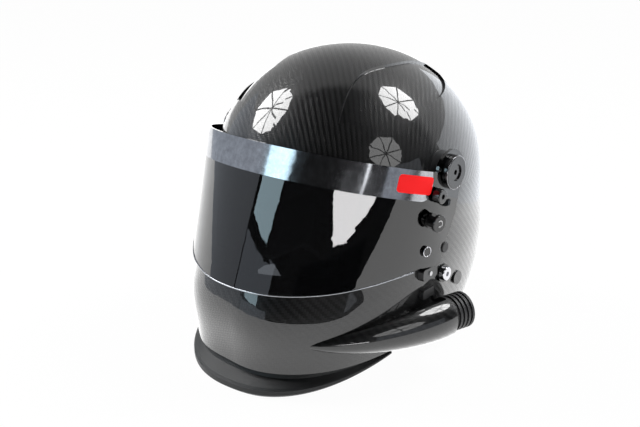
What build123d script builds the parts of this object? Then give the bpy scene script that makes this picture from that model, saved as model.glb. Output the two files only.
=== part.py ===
"""Full-face auto racing helmet with a turning visor and a forced-air duct.

The frame is the wearer's: X to the wearer's left, -Y forward, +Z up. The origin is on the floor under the
point where the helmet is widest, and the helmet stands on the rim of its chin skirt and its rear trim.
Outlines are written as forward, left and up, whatever the plane.
"""

import os
from math import atan2, cos, degrees, radians, sin

from build123d import *

os.makedirs("parts", exist_ok=True)

# The outer form: its widest level, and how far it reaches from the axis
WIDEST = 160.0  # height of the widest level above the floor
HALF_WIDTH = 124.0
CROWN_RISE = 126.0  # crown above the widest level
BROW_REACH = 121.0
REAR_REACH = 157.0
CHIN_REACH = 158.0
SHELL_WALL = 4.0
FAR = 400.0  # overrun of every cut that goes right through

# Levels under the widest one: height, front, rear, side, then the power of the oval
LOW_LEVEL_SHARES = [
    (-0.17, 0.935, 0.57, 0.810, 2.35),
    (0.00, 0.955, 0.63, 0.850, 2.40),
    (0.17, 0.975, 0.69, 0.895, 2.45),
    (0.33, 0.998, 0.81, 0.935, 2.40),
    (0.48, 0.998, 0.94, 0.968, 2.25),
    (0.60, 0.955, 1.00, 0.990, 2.10),
    (0.72, 0.910, 1.03, 1.000, 2.04),
    (0.86, 0.845, 1.02, 1.000, 2.00),
]
CROWN_ANGLES = (0, 18, 36, 52, 66, 77, 85)  # degrees up the crown
ARC_POINTS = 8  # spans of each half oval

# Scallops of the crown, one on each side, in plan
SCALLOP_DEPTH = 2.2
SCALLOP_FLOOR = 70.0  # they start this far above the widest level
SCALLOP_INNER_SHARES = [(0.64, 0.45), (0.48, 0.40), (0.30, 0.37), (0.0, 0.40), (-0.38, 0.37), (-0.68, 0.30)]
SCALLOP_OUTER_SHARES = [(-0.72, 0.40), (-0.50, 0.60), (-0.21, 0.72), (0.0, 0.745), (0.25, 0.71), (0.49, 0.65)]

# The bottom edge, in side view
CHIN_EDGE = 20.0  # height at the front of the chin
SIDE_EDGE = 40.0  # height beside the jaw
REAR_EDGE = 3.0
REAR_EDGE_START = 90.0  # behind the axis, where the edge has come down

# The eyeport, in side view
PORT_TOP_FRONT = 202.0
PORT_TOP_REAR = 193.0
PORT_LOW_FRONT = 102.0
PORT_LOW_REAR = 112.0
PORT_REACH_TOP = 78.0  # rear edge of the port, ahead of the axis
PORT_REACH_LOW = 104.0
PORT_CORNER = 15.0

# Rubber mouldings
TRIM_WALL = 1.4
TRIM_FOOT = 3.0
TRIM_GRIP = 9.0
TRIM_END = 12.0  # ahead of the axis, where the chin skirt takes over
GASKET_WALL = 1.0
GASKET_SEAT = 0.15  # film of glue under the moulding
GASKET_GRIP = 7.0
GASKET_LIP = 3.0
SKIRT_RIM_REACH = 165.0
SKIRT_RIM_SIDE = 110.5
SKIRT_RIM_RISE = 44.0  # height of the rim's plane at the axis
SKIRT_WALL = 3.0
SKIRT_GRIP = 8.0
SKIRT_POWER = 2.35
RIM_THICK = 9.0
RIM_SHARE = 0.41  # of the height between rim and chin bar
RIM_BEVEL_SHARE = 0.25
RIM_FLAT = 0.8  # the rim is cut this deep where it stands
SKIRT_REACH = 147.6  # of the wall inside the chin bar
SKIRT_SIDE = 107.4
WAIST_SHARE = 0.25  # how far out the wall's waist is, from the chin bar to the rim
SKIRT_TURNS = (-60, -50, -38, -26, -13, 0, 13, 26, 38, 50, 60)  # degrees from straight ahead
FIT_GAP = 0.3  # between soft or bonded pieces and what holds them

# The visor
VISOR_WALL = 3.0
VISOR_HALF = 128.0
VISOR_FLAT = 14.0  # the sides run straight up to here
VISOR_TOP_REACH = 114.0
VISOR_TOP = 219.0  # height of the top edge in front
VISOR_LOW_REACH = 157.0
VISOR_LOW = 95.0  # height of the bottom edge in front
VISOR_OVERRUN = 20.0
VISOR_TOP_BACK = (28.0, 196.0)  # forward and up, where the top edge meets the ear
VISOR_LOW_BACK = (48.0, 111.0)
VISOR_HEEL = (20.5, 107.0)
VISOR_WAIST = (16.5, 122.0)
VISOR_BACK = (-1.0, 151.0)
HEEL_ROUND = 7.0
PIVOT = (8.0, 192.0)
EAR_RADIUS = 20.0
BOSS_RADIUS = 6.0
BORE_CLEARANCE = 0.25
SWING = 50.0  # degrees from shut to open
GUIDE_RADIUS = 28.0
GUIDE_ANGLE = -35.0  # of the guide screw, seen from the pivot, visor shut
GUIDE_COLLAR = 3.0
STRIP_BAND = 28.0
STRIP_END = 34.0
STRIP_CORNER = 11.0
FILM = 0.3
LABEL_LONG = 33.0
LABEL_HIGH = 16.0
LABEL_CENTRE = (51.0, 189.0)
LABEL_CORNER = 3.0
STOP = (14.5, 122.5)
STOP_RADIUS = 5.0
STOP_PROUD = 6.0
STOP_GAP = 0.6
STUD = (41.0, 126.0)
STUD_HEAD = 4.6
STUD_PROUD = 2.0
STUD_SHANK = 2.0
STUD_BACK = 0.9

# Pivot plates and screws
PLATE_ROUND = 17.0
PLATE_GUIDE_ROUND = 9.5
PLATE_THICK = 1.4
COLLAR_RADIUS = 9.5  # step of the plate that the visor's ear runs on
RUN_GAP = 0.3  # faces that slide past each other
ROOT = 30.0  # how far fittings are drawn into the shell before they are cut to it
HEAD_RADIUS = 15.4
HEAD_HIGH = 5.4
HEAD_ROUND = 1.6
HEAD_RECESS = 7.5
HEAD_RECESS_DEEP = 1.4
PIVOT_SHANK = 3.0
PIVOT_SHANK_END = 108.0
NUT_RADIUS = 8.0
NUT_HIGH = 4.0
GUIDE_HEAD = 6.6
GUIDE_HEAD_HIGH = 7.0
SOCKET = 2.6
SOCKET_DEEP = 2.4
SCREW_GAP = 0.2  # round a shank in its hole

# Tear-off posts
POST = (36.0, 153.5)
POST_HEAD = 7.8
POST_HEAD_HIGH = 3.2
POST_NECK = 5.0
POST_HIGH = 12.0
POST_FLANGE = 7.0
POST_FLANGE_HIGH = 1.5
POST_SHANK = 2.5
POST_NUT = 5.5
POST_NUT_HIGH = 1.2
POST_ROUND = 0.9

# Visor rests, under the visor's lower rear corners
REST = (31.0, 101.5)
REST_LONG = 22.0
REST_HIGH = 11.0
REST_ROUND = 3.0
REST_PROUD = 4.0
REST_SCREW = 2.2
REST_SCREW_PROUD = 0.8

# Anchors of the frontal head restraint
ANCHOR = (7.5, 94.0)
WASHER_RADIUS = 8.5
WASHER_HIGH = 2.0
ANCHOR_HEAD = 6.5
ANCHOR_HEAD_HIGH = 3.6
ANCHOR_SOCKET = 2.4
ANCHOR_SOCKET_DEEP = 2.2
ANCHOR_SHANK = 3.0
INSERT_RADIUS = 9.0
INSERT_HIGH = 3.0
INSERT_BARREL = 4.6
INSERT_BELOW = 0.8  # barrel's end under the sloping outside of the shell

# The side duct on the wearer's left, from its tip on the chin to its round end
DUCT_TIP = (135.0, 64.0, 51.0)
DUCT_END = (16.0, 131.0, 57.0)
DUCT_RADIUS = 19.5
DUCT_PATH_SHARES = [(0.0, 0.0, 0.0, 0.12), (0.14, 0.30, 0.2, 0.42), (0.37, 0.60, 0.5, 0.68),
                    (0.62, 0.82, 0.8, 0.87), (1.0, 1.0, 1.0, 1.0)]  # forward run, outward run, rise, radius
DUCT_INNER_SHARE = 0.95  # section points, of its radius
DUCT_BOTTOM_SHARES = (-0.25, -0.98)
DUCT_OUTER_SHARES = (1.0, -0.05)
DUCT_CREST_SHARES = (0.30, 0.95)
DUCT_GROOVE_SHARE = 0.35
NOZZLE_BORE = 11.5
SPIGOT_RADIUS = 13.0
SPIGOT_DEEP = 12.0
NOZZLE_RADIUS = 15.4
NOZZLE_LONG = 23.0
NOZZLE_COLLAR = 2.5
RIB_RADIUS = 17.0
RIB_COUNT = 4
RIB_WIDE = 2.4
RIB_PITCH = 4.8
DUCT_TAPER_DEEP = 46.0
DUCT_TAPER_RADIUS = 7.0
OUTLET = (29.0, 81.0)
OUTLET_LONG = 17.0
OUTLET_HIGH = 8.5
OUTLET_PROUD = 3.0
OUTLET_ROUND = 2.0

# The liner and its pads
LINER_WALL = 33.0
LINER_REAR_WALL = 37.0
LINER_LOW = 62.0
LINER_REAR_LOW = 32.0
LINER_FACE = 66.0
LINER_BROW = 213.0
LINER_REAR_START = -72.0
CAVITY_FOOT_SHARES = (1.0, 0.84, 0.93)  # front, rear and side of the cavity at the floor
CAVITY_ANGLES = (0, 30, 55, 76)
PAD_THICK = 9.0
CROWN_PAD_LOW = 232.0
BROW_PAD_LOW = 214.0
BROW_PAD_HIGH = 231.0
BROW_PAD_REAR = 6.0
NECK_ROLL_LOW = 36.0
NECK_ROLL_HIGH = 82.0
NECK_ROLL_FRONT = -48.0
NECK_ROLL_THICK = 14.0
CHEEK_CENTRE = (10.0, 106.0)
CHEEK_LONG = 92.0
CHEEK_HIGH = 84.0
CHEEK_OUT = 84.0
CHEEK_THICK = 30.0
CHEEK_DEPTH_SHARES = [(0.0, 0.97), (0.45, 1.0), (0.80, 0.93), (1.0, 0.72)]  # depth, size
CHEEK_POWER = 3.2
CHIN_PAD_THICK = 20.0
CHIN_PAD_LOW = 38.0
CHIN_PAD_HIGH = 92.0
CHIN_PAD_REAR = 84.0

# The chin strap: its centre line is seen from the front
STRAP_CENTRE = -20.0  # forward of the axis
STRAP_WIDE = 25.0
STRAP_THICK = 2.2
STRAP_LEFT = [(109.0, 90.0), (109.0, 66.0), (99.0, 46.0), (84.0, 35.0), (63.0, 32.0)]  # left and up
STRAP_RIGHT = [(-109.0, 90.0), (-109.0, 66.0), (-99.0, 46.0), (-78.0, 22.0), (-44.0, 12.0), (-4.0, 12.0)]
STRAP_BENDS = 9.0
RIVET = (-20.0, 80.0)
RIVET_HEAD = 6.5
RIVET_HEAD_HIGH = 1.6
RIVET_SHANK = 2.4
RIVET_TAIL = 5.0
RIVET_TAIL_HIGH = 1.2
STRAP_POCKET = 3.0  # room round the strap behind the liner
POCKET_GAP = 1.0
RING_WIRE = 3.4
RING_ROUND = 1.65
RING_HALF = 14.5
RING_LONG = 23.0
RING_APART = 4.1
RING_CENTRE = (58.0, 32.0)
LOOP_ROOM = 0.4
LOOP_WALL = 1.6


def level(height):
    """Plan view at a height: forward, then left."""
    return Plane(origin=(0, 0, height), x_dir=(0, -1, 0), z_dir=(0, 0, 1))


def side(out=0.0):
    """Side view at a distance to the left: forward, then up. Extrusions run to the right."""
    return Plane(origin=(out, 0, 0), x_dir=(0, -1, 0), z_dir=(-1, 0, 0))


def place(spot, out=0.0):
    """A spot of the side view, on the side plane at that distance."""
    return Plane(origin=(out, -spot[0], spot[1]), x_dir=(0, -1, 0), z_dir=(-1, 0, 0))


def half_oval(front, rear, half, power):
    """Points from the front round the left to the rear."""
    points = []
    for step in range(ARC_POINTS + 1):
        angle = radians(180 * step / ARC_POINTS)
        reach = front if 2 * step <= ARC_POINTS else -rear
        points.append((reach * abs(cos(angle)) ** (2 / power), half * abs(sin(angle)) ** (2 / power)))
    points[-1] = (-rear, 0)
    return points


def oval(front, rear, half, power):
    """Closed line through the half oval and its mirror image."""
    points = half_oval(front, rear, half, power)
    Spline(*points, *[(ahead, -left) for ahead, left in reversed(points[1:-1])], periodic=True)


def helmet_form(inset, ruled):
    """The helmet's outer form, drawn in by inset. Hidden surfaces are ruled."""
    with BuildPart() as form:
        for height, front, rear, half, power in LOW_LEVEL_SHARES:
            with BuildSketch(level(height * WIDEST)):
                with BuildLine():
                    oval(front * CHIN_REACH - inset, rear * REAR_REACH - inset,
                         half * HALF_WIDTH - inset, power)
                make_face()
        for angle in CROWN_ANGLES:
            across = cos(radians(angle))
            with BuildSketch(level(WIDEST + (CROWN_RISE - inset) * sin(radians(angle)))):
                with BuildLine():
                    oval(*[(reach - inset) * across for reach in (BROW_REACH, REAR_REACH, HALF_WIDTH)], 2)
                make_face()
        loft(sections=[*form.pending_faces, Vertex(0, 0, WIDEST + CROWN_RISE - inset)], ruled=ruled)
    return form.part


def cavity_form(inset):
    """The room for the head, drawn in by inset."""
    front = BROW_REACH - SHELL_WALL - LINER_WALL - inset
    rear = REAR_REACH - SHELL_WALL - LINER_REAR_WALL - inset
    half = HALF_WIDTH - SHELL_WALL - LINER_WALL - inset
    rise = CROWN_RISE - SHELL_WALL - LINER_WALL - inset
    with BuildPart() as form:
        with BuildSketch(level(0)):
            with BuildLine():
                oval(*[size * share for size, share in zip((front, rear, half), CAVITY_FOOT_SHARES)], 2)
            make_face()
        for angle in CAVITY_ANGLES:
            across = cos(radians(angle))
            with BuildSketch(level(WIDEST + rise * sin(radians(angle)))):
                with BuildLine():
                    oval(front * across, rear * across, half * across, 2)
                make_face()
        loft(sections=[*form.pending_faces, Vertex(0, 0, WIDEST + rise)], ruled=True)
    return form.part


def edge_height(ahead):
    """Height of the bottom edge from the jaw forward."""
    return SIDE_EDGE + (CHIN_EDGE - SIDE_EDGE) * ahead / CHIN_REACH


def below_edge(lift):
    """Side outline of all that lies under the bottom edge, moved up by lift."""
    fall = (edge_height(FAR) - SIDE_EDGE) / FAR
    Line((FAR, edge_height(FAR) + lift), (0, SIDE_EDGE + lift))
    Spline((0, SIDE_EDGE + lift), (-REAR_EDGE_START, REAR_EDGE + lift), tangents=[(-1, -fall), (-1, 0)])
    Polyline((-REAR_EDGE_START, REAR_EDGE + lift), (-FAR, REAR_EDGE + lift), (-FAR, -FAR), (FAR, -FAR),
             (FAR, edge_height(FAR) + lift))


def plan_radius(front, half, power, turn):
    """Radius of an oval in plan, at a turn from straight ahead."""
    ahead, left = abs(cos(radians(turn))) / front, abs(sin(radians(turn))) / half
    return (ahead ** power + left ** power) ** (-1 / power)


def edge_band(form, low, high, rear, front):
    """Left half of a form between two outlines of the bottom edge and two reaches."""
    with BuildPart() as band:
        add(form)
        with BuildSketch(side(FAR)):
            with BuildLine():
                below_edge(high)
            make_face()
            with BuildLine():
                below_edge(low)
            make_face(mode=Mode.SUBTRACT)
            with Locations(((rear + front) / 2, 0)):
                Rectangle(front - rear, 2 * FAR, mode=Mode.INTERSECT)
        extrude(amount=FAR, mode=Mode.INTERSECT)
    return band.part


def port_outline(grow):
    """Side outline of the eyeport, grown by grow."""
    slope = (PORT_TOP_FRONT - PORT_TOP_REAR) / (VISOR_TOP_REACH - PORT_REACH_TOP)
    fall = (PORT_LOW_REAR - PORT_LOW_FRONT) / (VISOR_LOW_REACH - PORT_REACH_LOW)
    top = (FAR, PORT_TOP_REAR + slope * (FAR - PORT_REACH_TOP) + grow)
    low = (FAR, PORT_LOW_REAR - fall * (FAR - PORT_REACH_LOW) - grow)
    FilletPolyline(top, (PORT_REACH_TOP - grow, PORT_TOP_REAR + grow),
                   (PORT_REACH_LOW - grow, PORT_LOW_REAR - grow), low, radius=PORT_CORNER + grow)
    Line(low, top)


def port_frame(form, grow, lip):
    """The left half of a form, kept in a frame round the eyeport."""
    with BuildPart() as frame:
        add(form)
        with BuildSketch(side(FAR)):
            with BuildLine():
                port_outline(grow)
            make_face()
            with BuildLine():
                port_outline(lip)
            make_face(mode=Mode.SUBTRACT)
        extrude(amount=FAR, mode=Mode.INTERSECT)
    return frame.part


def guide_spot():
    """Centre of the guide screw."""
    angle = radians(GUIDE_ANGLE)
    return (PIVOT[0] + GUIDE_RADIUS * cos(angle), PIVOT[1] + GUIDE_RADIUS * sin(angle))


def visor_reach(height):
    """How far forward the visor's outer face is at a height."""
    share = (height - VISOR_LOW) / (VISOR_TOP - VISOR_LOW)
    return VISOR_LOW_REACH + (VISOR_TOP_REACH - VISOR_LOW_REACH) * share


def visor_form(inset):
    """A block with the visor's outer faces, drawn in by inset."""
    half = VISOR_HALF - inset
    with BuildPart() as form:
        for height in (VISOR_LOW - VISOR_OVERRUN, VISOR_TOP + VISOR_OVERRUN):
            with BuildSketch(level(height)):
                with BuildLine():
                    EllipticalCenterArc((VISOR_FLAT, 0), visor_reach(height) - inset - VISOR_FLAT, half,
                                        start_angle=-90, arc_size=180)
                    Polyline((VISOR_FLAT, half), (-2 * EAR_RADIUS, half),
                             (-2 * EAR_RADIUS, -half), (VISOR_FLAT, -half))
                make_face()
        loft(ruled=True)
    return form.part


def visor_face(spot):
    """Plane on the visor's outer face at a spot of the left side, facing outward."""
    share = max(spot[0] - VISOR_FLAT, 0) / (visor_reach(spot[1]) - VISOR_FLAT)
    left = VISOR_HALF * (1 - share ** 2) ** 0.5
    turn = atan2(share * VISOR_HALF / (visor_reach(spot[1]) - VISOR_FLAT), (1 - share ** 2) ** 0.5)
    return Plane(origin=(left, -spot[0], spot[1]), x_dir=(-sin(turn), -cos(turn), 0),
                 z_dir=(cos(turn), -sin(turn), 0))


def top_edge(ahead, drop=0.0):
    """Height of the visor's top edge, or of a line under it."""
    slope = (VISOR_TOP - VISOR_TOP_BACK[1]) / (VISOR_TOP_REACH - VISOR_TOP_BACK[0])
    return VISOR_TOP_BACK[1] + slope * (ahead - VISOR_TOP_BACK[0]) - drop


def low_edge(ahead):
    """Height of the visor's bottom edge."""
    slope = (VISOR_LOW - VISOR_LOW_BACK[1]) / (VISOR_LOW_REACH - VISOR_LOW_BACK[0])
    return VISOR_LOW_BACK[1] + slope * (ahead - VISOR_LOW_BACK[0])


def shell_left(spot):
    """Distance to the left of the shell's face at a spot of the side view."""
    rows = [(height * WIDEST, front * CHIN_REACH, half * HALF_WIDTH, power)
            for height, front, _, half, power in LOW_LEVEL_SHARES] + [(WIDEST, BROW_REACH, HALF_WIDTH, 2)]
    for low, high in zip(rows, rows[1:]):
        if low[0] <= spot[1] <= high[0]:
            share = (spot[1] - low[0]) / (high[0] - low[0])
            _, front, half, power = [a + (b - a) * share for a, b in zip(low, high)]
            return half * (1 - (max(spot[0], 0) / front) ** power) ** (1 / power)
    return HALF_WIDTH * (1 - ((spot[1] - WIDEST) / CROWN_RISE) ** 2 - (spot[0] / BROW_REACH) ** 2) ** 0.5


def twin(piece):
    """The piece of the other side."""
    with BuildPart() as other:
        mirror(piece.part, about=Plane.YZ)
    return other


def both_sides(piece):
    """The piece and its twin as one group."""
    with BuildPart() as group:
        add(piece.part)
        mirror(piece.part, about=Plane.YZ)
    return group


pieces = {}
outer_form = helmet_form(0, ruled=False)
inner_form = helmet_form(SHELL_WALL, ruled=True)
pivot_out, anchor_out, rivet_out = shell_left(PIVOT), shell_left(ANCHOR), shell_left(RIVET)

# Outer shell: the form, its scallops, eyeport, bottom edge and the holes of its fittings
with BuildPart() as scallops:
    add(outer_form)
    with BuildSketch(level(WIDEST + SCALLOP_FLOOR)):
        with BuildLine():
            inner = [(ahead * BROW_REACH, left * HALF_WIDTH) for ahead, left in SCALLOP_INNER_SHARES]
            outer = [(ahead * BROW_REACH, left * HALF_WIDTH) for ahead, left in SCALLOP_OUTER_SHARES]
            Spline(*inner)
            Line(inner[-1], outer[0])
            Spline(*outer)
            Line(outer[-1], inner[0])
        make_face()
        mirror(about=Plane.XZ)
    extrude(amount=FAR, mode=Mode.INTERSECT)
    add(helmet_form(SCALLOP_DEPTH, ruled=False), mode=Mode.SUBTRACT)

with BuildPart() as outer_shell:
    add(outer_form)
    add(inner_form, mode=Mode.SUBTRACT)
    add(scallops.part, mode=Mode.SUBTRACT)
    with BuildSketch(side()):
        with BuildLine():
            below_edge(0)
        make_face()
    extrude(amount=FAR, both=True, mode=Mode.SUBTRACT)
    with BuildSketch(side()):
        with BuildLine():
            port_outline(0)
        make_face()
    extrude(amount=FAR, both=True, mode=Mode.SUBTRACT)
    for spot, radius in ((PIVOT, PIVOT_SHANK + SCREW_GAP), (ANCHOR, INSERT_BARREL), (RIVET, RIVET_SHANK)):
        with BuildSketch(place(spot)):
            Circle(radius)
        extrude(amount=FAR, both=True, mode=Mode.SUBTRACT)
pieces["outer_shell"] = outer_shell

# Rubber trim of the bottom edge, behind the chin skirt, with a lip up the outside
with BuildPart() as base_trim:
    add(edge_band(helmet_form(-TRIM_WALL, ruled=False), -TRIM_FOOT, TRIM_GRIP, -FAR, TRIM_END))
    add(edge_band(outer_form, 0, 2 * TRIM_GRIP, -FAR, TRIM_END + TRIM_GRIP), mode=Mode.SUBTRACT)
    add(helmet_form(SHELL_WALL + TRIM_WALL, ruled=True), mode=Mode.SUBTRACT)
    mirror(about=Plane.YZ)
pieces["base_trim"] = base_trim

# Rubber moulding round the eyeport
with BuildPart() as eyeport_gasket:
    add(port_frame(helmet_form(-GASKET_WALL, ruled=False), GASKET_GRIP, -GASKET_LIP))
    seat = helmet_form(-GASKET_SEAT, ruled=False)
    add(port_frame(seat, 2 * GASKET_GRIP, -GASKET_SEAT), mode=Mode.SUBTRACT)
    add(helmet_form(SHELL_WALL + GASKET_WALL, ruled=True), mode=Mode.SUBTRACT)
    mirror(about=Plane.YZ)
pieces["eyeport_gasket"] = eyeport_gasket

# Chin skirt: a thick rim on a wall that narrows and is tucked inside the chin bar
with BuildPart() as chin_skirt:
    for turn in SKIRT_TURNS:
        rim_out = plan_radius(SKIRT_RIM_REACH, SKIRT_RIM_SIDE, SKIRT_POWER, turn)
        rim_in = rim_out - RIM_THICK
        grip_out = plan_radius(SKIRT_REACH, SKIRT_SIDE, LOW_LEVEL_SHARES[2][4], turn)
        grip_in = grip_out - SKIRT_WALL
        bottom = SKIRT_RIM_RISE - (SKIRT_RIM_RISE + RIM_FLAT) * rim_out * cos(radians(turn)) / SKIRT_RIM_REACH
        edge = edge_height(grip_out * cos(radians(turn))) - FIT_GAP
        rim_top = bottom + (edge - bottom) * RIM_SHARE
        bevel = (rim_top - bottom) * RIM_BEVEL_SHARE
        waist_out = grip_out + (rim_out - grip_out) * WAIST_SHARE
        waist = (rim_top + edge) / 2
        with BuildSketch(Plane(origin=(0, 0, 0), x_dir=(sin(radians(turn)), -cos(radians(turn)), 0),
                               z_dir=(-cos(radians(turn)), -sin(radians(turn)), 0))):
            with BuildLine():
                Polyline((rim_in + bevel, bottom), (rim_out - bevel, bottom), (rim_out, bottom + bevel),
                         (rim_out, rim_top - bevel), (rim_out - bevel, rim_top), (waist_out, waist),
                         (grip_out, edge), (grip_out, edge + SKIRT_GRIP), (grip_in, edge + SKIRT_GRIP),
                         (grip_in, edge), (waist_out - SKIRT_WALL, waist), (rim_in, rim_top - bevel),
                         (rim_in, bottom + bevel), (rim_in + bevel, bottom))
            make_face()
    loft()
    split(bisect_by=Plane.XY, keep=Keep.TOP)
pieces["chin_skirt"] = chin_skirt

# Visor: shield, strip and label
with BuildPart() as visor_shield:
    add(visor_form(0))
    add(visor_form(VISOR_WALL), mode=Mode.SUBTRACT)
    with BuildSketch(side()):
        with BuildLine():
            FilletPolyline((FAR, top_edge(FAR)), VISOR_TOP_BACK, (PIVOT[0], VISOR_TOP_BACK[1]),
                           (PIVOT[0] - EAR_RADIUS, PIVOT[1]), VISOR_BACK, VISOR_WAIST, VISOR_HEEL,
                           VISOR_LOW_BACK, (FAR, low_edge(FAR)), radius=[0, 0, 0, 0, 0, HEEL_ROUND, HEEL_ROUND])
            Line((FAR, low_edge(FAR)), (FAR, top_edge(FAR)))
        make_face()
        with Locations(PIVOT):
            Circle(EAR_RADIUS)
            Circle(BOSS_RADIUS + BORE_CLEARANCE, mode=Mode.SUBTRACT)
        with Locations(STOP):
            Circle(STOP_RADIUS + STOP_GAP, mode=Mode.SUBTRACT)
        with BuildLine():
            slot = CenterArc(PIVOT, GUIDE_RADIUS, GUIDE_ANGLE - SWING, SWING)
        SlotArc(slot, 2 * (GUIDE_COLLAR + BORE_CLEARANCE), mode=Mode.SUBTRACT)
        with Locations(STUD):
            Circle(STUD_SHANK, mode=Mode.SUBTRACT)
    extrude(amount=FAR, both=True, mode=Mode.INTERSECT)
    with BuildSketch(visor_face(POST)):
        Circle(POST_SHANK + SCREW_GAP)
    extrude(amount=2 * VISOR_WALL, both=True, mode=Mode.SUBTRACT)
    mirror(about=Plane.YZ, mode=Mode.INTERSECT)
pieces["visor_shield"] = visor_shield

with BuildPart() as visor_strip:
    add(visor_form(-FILM))
    add(visor_form(0), mode=Mode.SUBTRACT)
    with BuildSketch(side()):
        with BuildLine():
            FilletPolyline((FAR, top_edge(FAR)), (STRIP_END, top_edge(STRIP_END)),
                           (STRIP_END, top_edge(STRIP_END, STRIP_BAND)), (FAR, top_edge(FAR, STRIP_BAND)),
                           radius=[FILM, STRIP_CORNER])
            Line((FAR, top_edge(FAR, STRIP_BAND)), (FAR, top_edge(FAR)))
        make_face()
    extrude(amount=FAR, both=True, mode=Mode.INTERSECT)
pieces["visor_strip"] = visor_strip

with BuildPart() as size_label:
    add(visor_form(-2 * FILM))
    add(visor_form(-FILM), mode=Mode.SUBTRACT)
    with BuildSketch(place(LABEL_CENTRE, FAR)):
        lean = degrees(atan2(top_edge(LABEL_LONG) - top_edge(0), LABEL_LONG))
        RectangleRounded(LABEL_LONG, LABEL_HIGH, LABEL_CORNER, rotation=lean)
    extrude(amount=FAR, mode=Mode.INTERSECT)
pieces["size_label"] = size_label

with BuildPart() as visor_studs:
    with BuildSketch(visor_face(STUD).offset(RUN_GAP)):
        Circle(STUD_HEAD)
    extrude(amount=STUD_PROUD)
    fillet(visor_studs.edges().sort_by(Axis.X)[-1], radius=STUD_BACK)
    with BuildSketch(visor_face(STUD).offset(RUN_GAP)):
        Circle(STUD_SHANK - SCREW_GAP)
    extrude(amount=-VISOR_WALL - 2 * RUN_GAP)
    with BuildSketch(visor_face(STUD).offset(-VISOR_WALL - RUN_GAP)):
        Circle(STUD_HEAD - STUD_BACK)
    extrude(amount=-STUD_BACK)
    add(visor_shield.part, mode=Mode.SUBTRACT)
pieces["visor_studs"] = both_sides(visor_studs)

# Tear-off posts: a cam between flange and head, on a shank through the visor, with a nut behind it
with BuildPart() as post:
    with BuildSketch(visor_face(POST).offset(RUN_GAP)):
        Circle(POST_FLANGE)
    extrude(amount=POST_FLANGE_HIGH)
    with BuildSketch(visor_face(POST).offset(RUN_GAP)):
        with Locations((POST_FLANGE - POST_NECK - POST_ROUND, 0)):
            Circle(POST_NECK)
    extrude(amount=POST_HIGH - POST_ROUND)
    with BuildSketch(visor_face(POST).offset(POST_HIGH - POST_HEAD_HIGH)):
        Circle(POST_HEAD)
    extrude(amount=POST_HEAD_HIGH)
    fillet(post.faces().sort_by(Axis.X)[-1].edges(), radius=POST_ROUND)
    with BuildSketch(visor_face(POST).offset(POST_FLANGE_HIGH)):
        Circle(POST_SHANK)
    extrude(amount=-POST_FLANGE_HIGH - VISOR_WALL - 2 * RUN_GAP - POST_NUT_HIGH)
pieces["tear_off_post_left"] = post
pieces["tear_off_post_right"] = twin(post)

with BuildPart() as post_nut:
    with BuildSketch(visor_face(POST).offset(-VISOR_WALL - 2 * RUN_GAP)):
        Circle(POST_NUT)
        Circle(POST_SHANK, mode=Mode.SUBTRACT)
    extrude(amount=-POST_NUT_HIGH)
pieces["post_nut_left"] = post_nut
pieces["post_nut_right"] = twin(post_nut)

# Pivots: plate with its boss, broad screw, guide screw and inner nut
boss_end = VISOR_HALF + RUN_GAP
with BuildPart() as pivot_plate:
    add(helmet_form(-PLATE_THICK, ruled=False))
    with BuildSketch(side(VISOR_HALF - VISOR_WALL - RUN_GAP)):
        with Locations(PIVOT):
            Circle(PLATE_ROUND)
        with Locations(guide_spot()):
            Circle(PLATE_GUIDE_ROUND)
        make_hull()
    extrude(amount=ROOT, mode=Mode.INTERSECT)
    for radius, out in ((COLLAR_RADIUS, VISOR_HALF - VISOR_WALL - RUN_GAP), (BOSS_RADIUS, boss_end)):
        with BuildSketch(place(PIVOT, out)):
            Circle(radius)
        extrude(amount=ROOT)
    add(outer_form, mode=Mode.SUBTRACT)
    with BuildSketch(place(PIVOT, boss_end)):
        Circle(PIVOT_SHANK + SCREW_GAP)
    extrude(amount=ROOT, mode=Mode.SUBTRACT)
pieces["pivot_plate_left"] = pivot_plate
pieces["pivot_plate_right"] = twin(pivot_plate)

with BuildPart() as pivot_screw:
    with BuildSketch(place(PIVOT, boss_end + HEAD_HIGH)):
        Circle(HEAD_RADIUS)
    extrude(amount=HEAD_HIGH)
    fillet(pivot_screw.edges().sort_by(Axis.X)[-1], radius=HEAD_ROUND)
    with BuildSketch(place(PIVOT, boss_end + HEAD_HIGH)):
        Circle(HEAD_RECESS)
    extrude(amount=HEAD_RECESS_DEEP, mode=Mode.SUBTRACT)
    with BuildSketch(place(PIVOT, boss_end + HEAD_HIGH - HEAD_RECESS_DEEP)):
        RegularPolygon(SOCKET, 6)
    extrude(amount=SOCKET_DEEP, mode=Mode.SUBTRACT)
    with BuildSketch(place(PIVOT, boss_end)):
        Circle(PIVOT_SHANK)
    extrude(amount=boss_end - PIVOT_SHANK_END)
pieces["pivot_screw_left"] = pivot_screw
pieces["pivot_screw_right"] = twin(pivot_screw)

with BuildPart() as pivot_nut:
    with BuildSketch(place(PIVOT, pivot_out - SHELL_WALL - 2 * FIT_GAP)):
        Circle(NUT_RADIUS)
        Circle(PIVOT_SHANK, mode=Mode.SUBTRACT)
    extrude(amount=NUT_HIGH)
    add(outer_shell.part, mode=Mode.SUBTRACT)
pieces["pivot_nuts"] = both_sides(pivot_nut)

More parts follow.
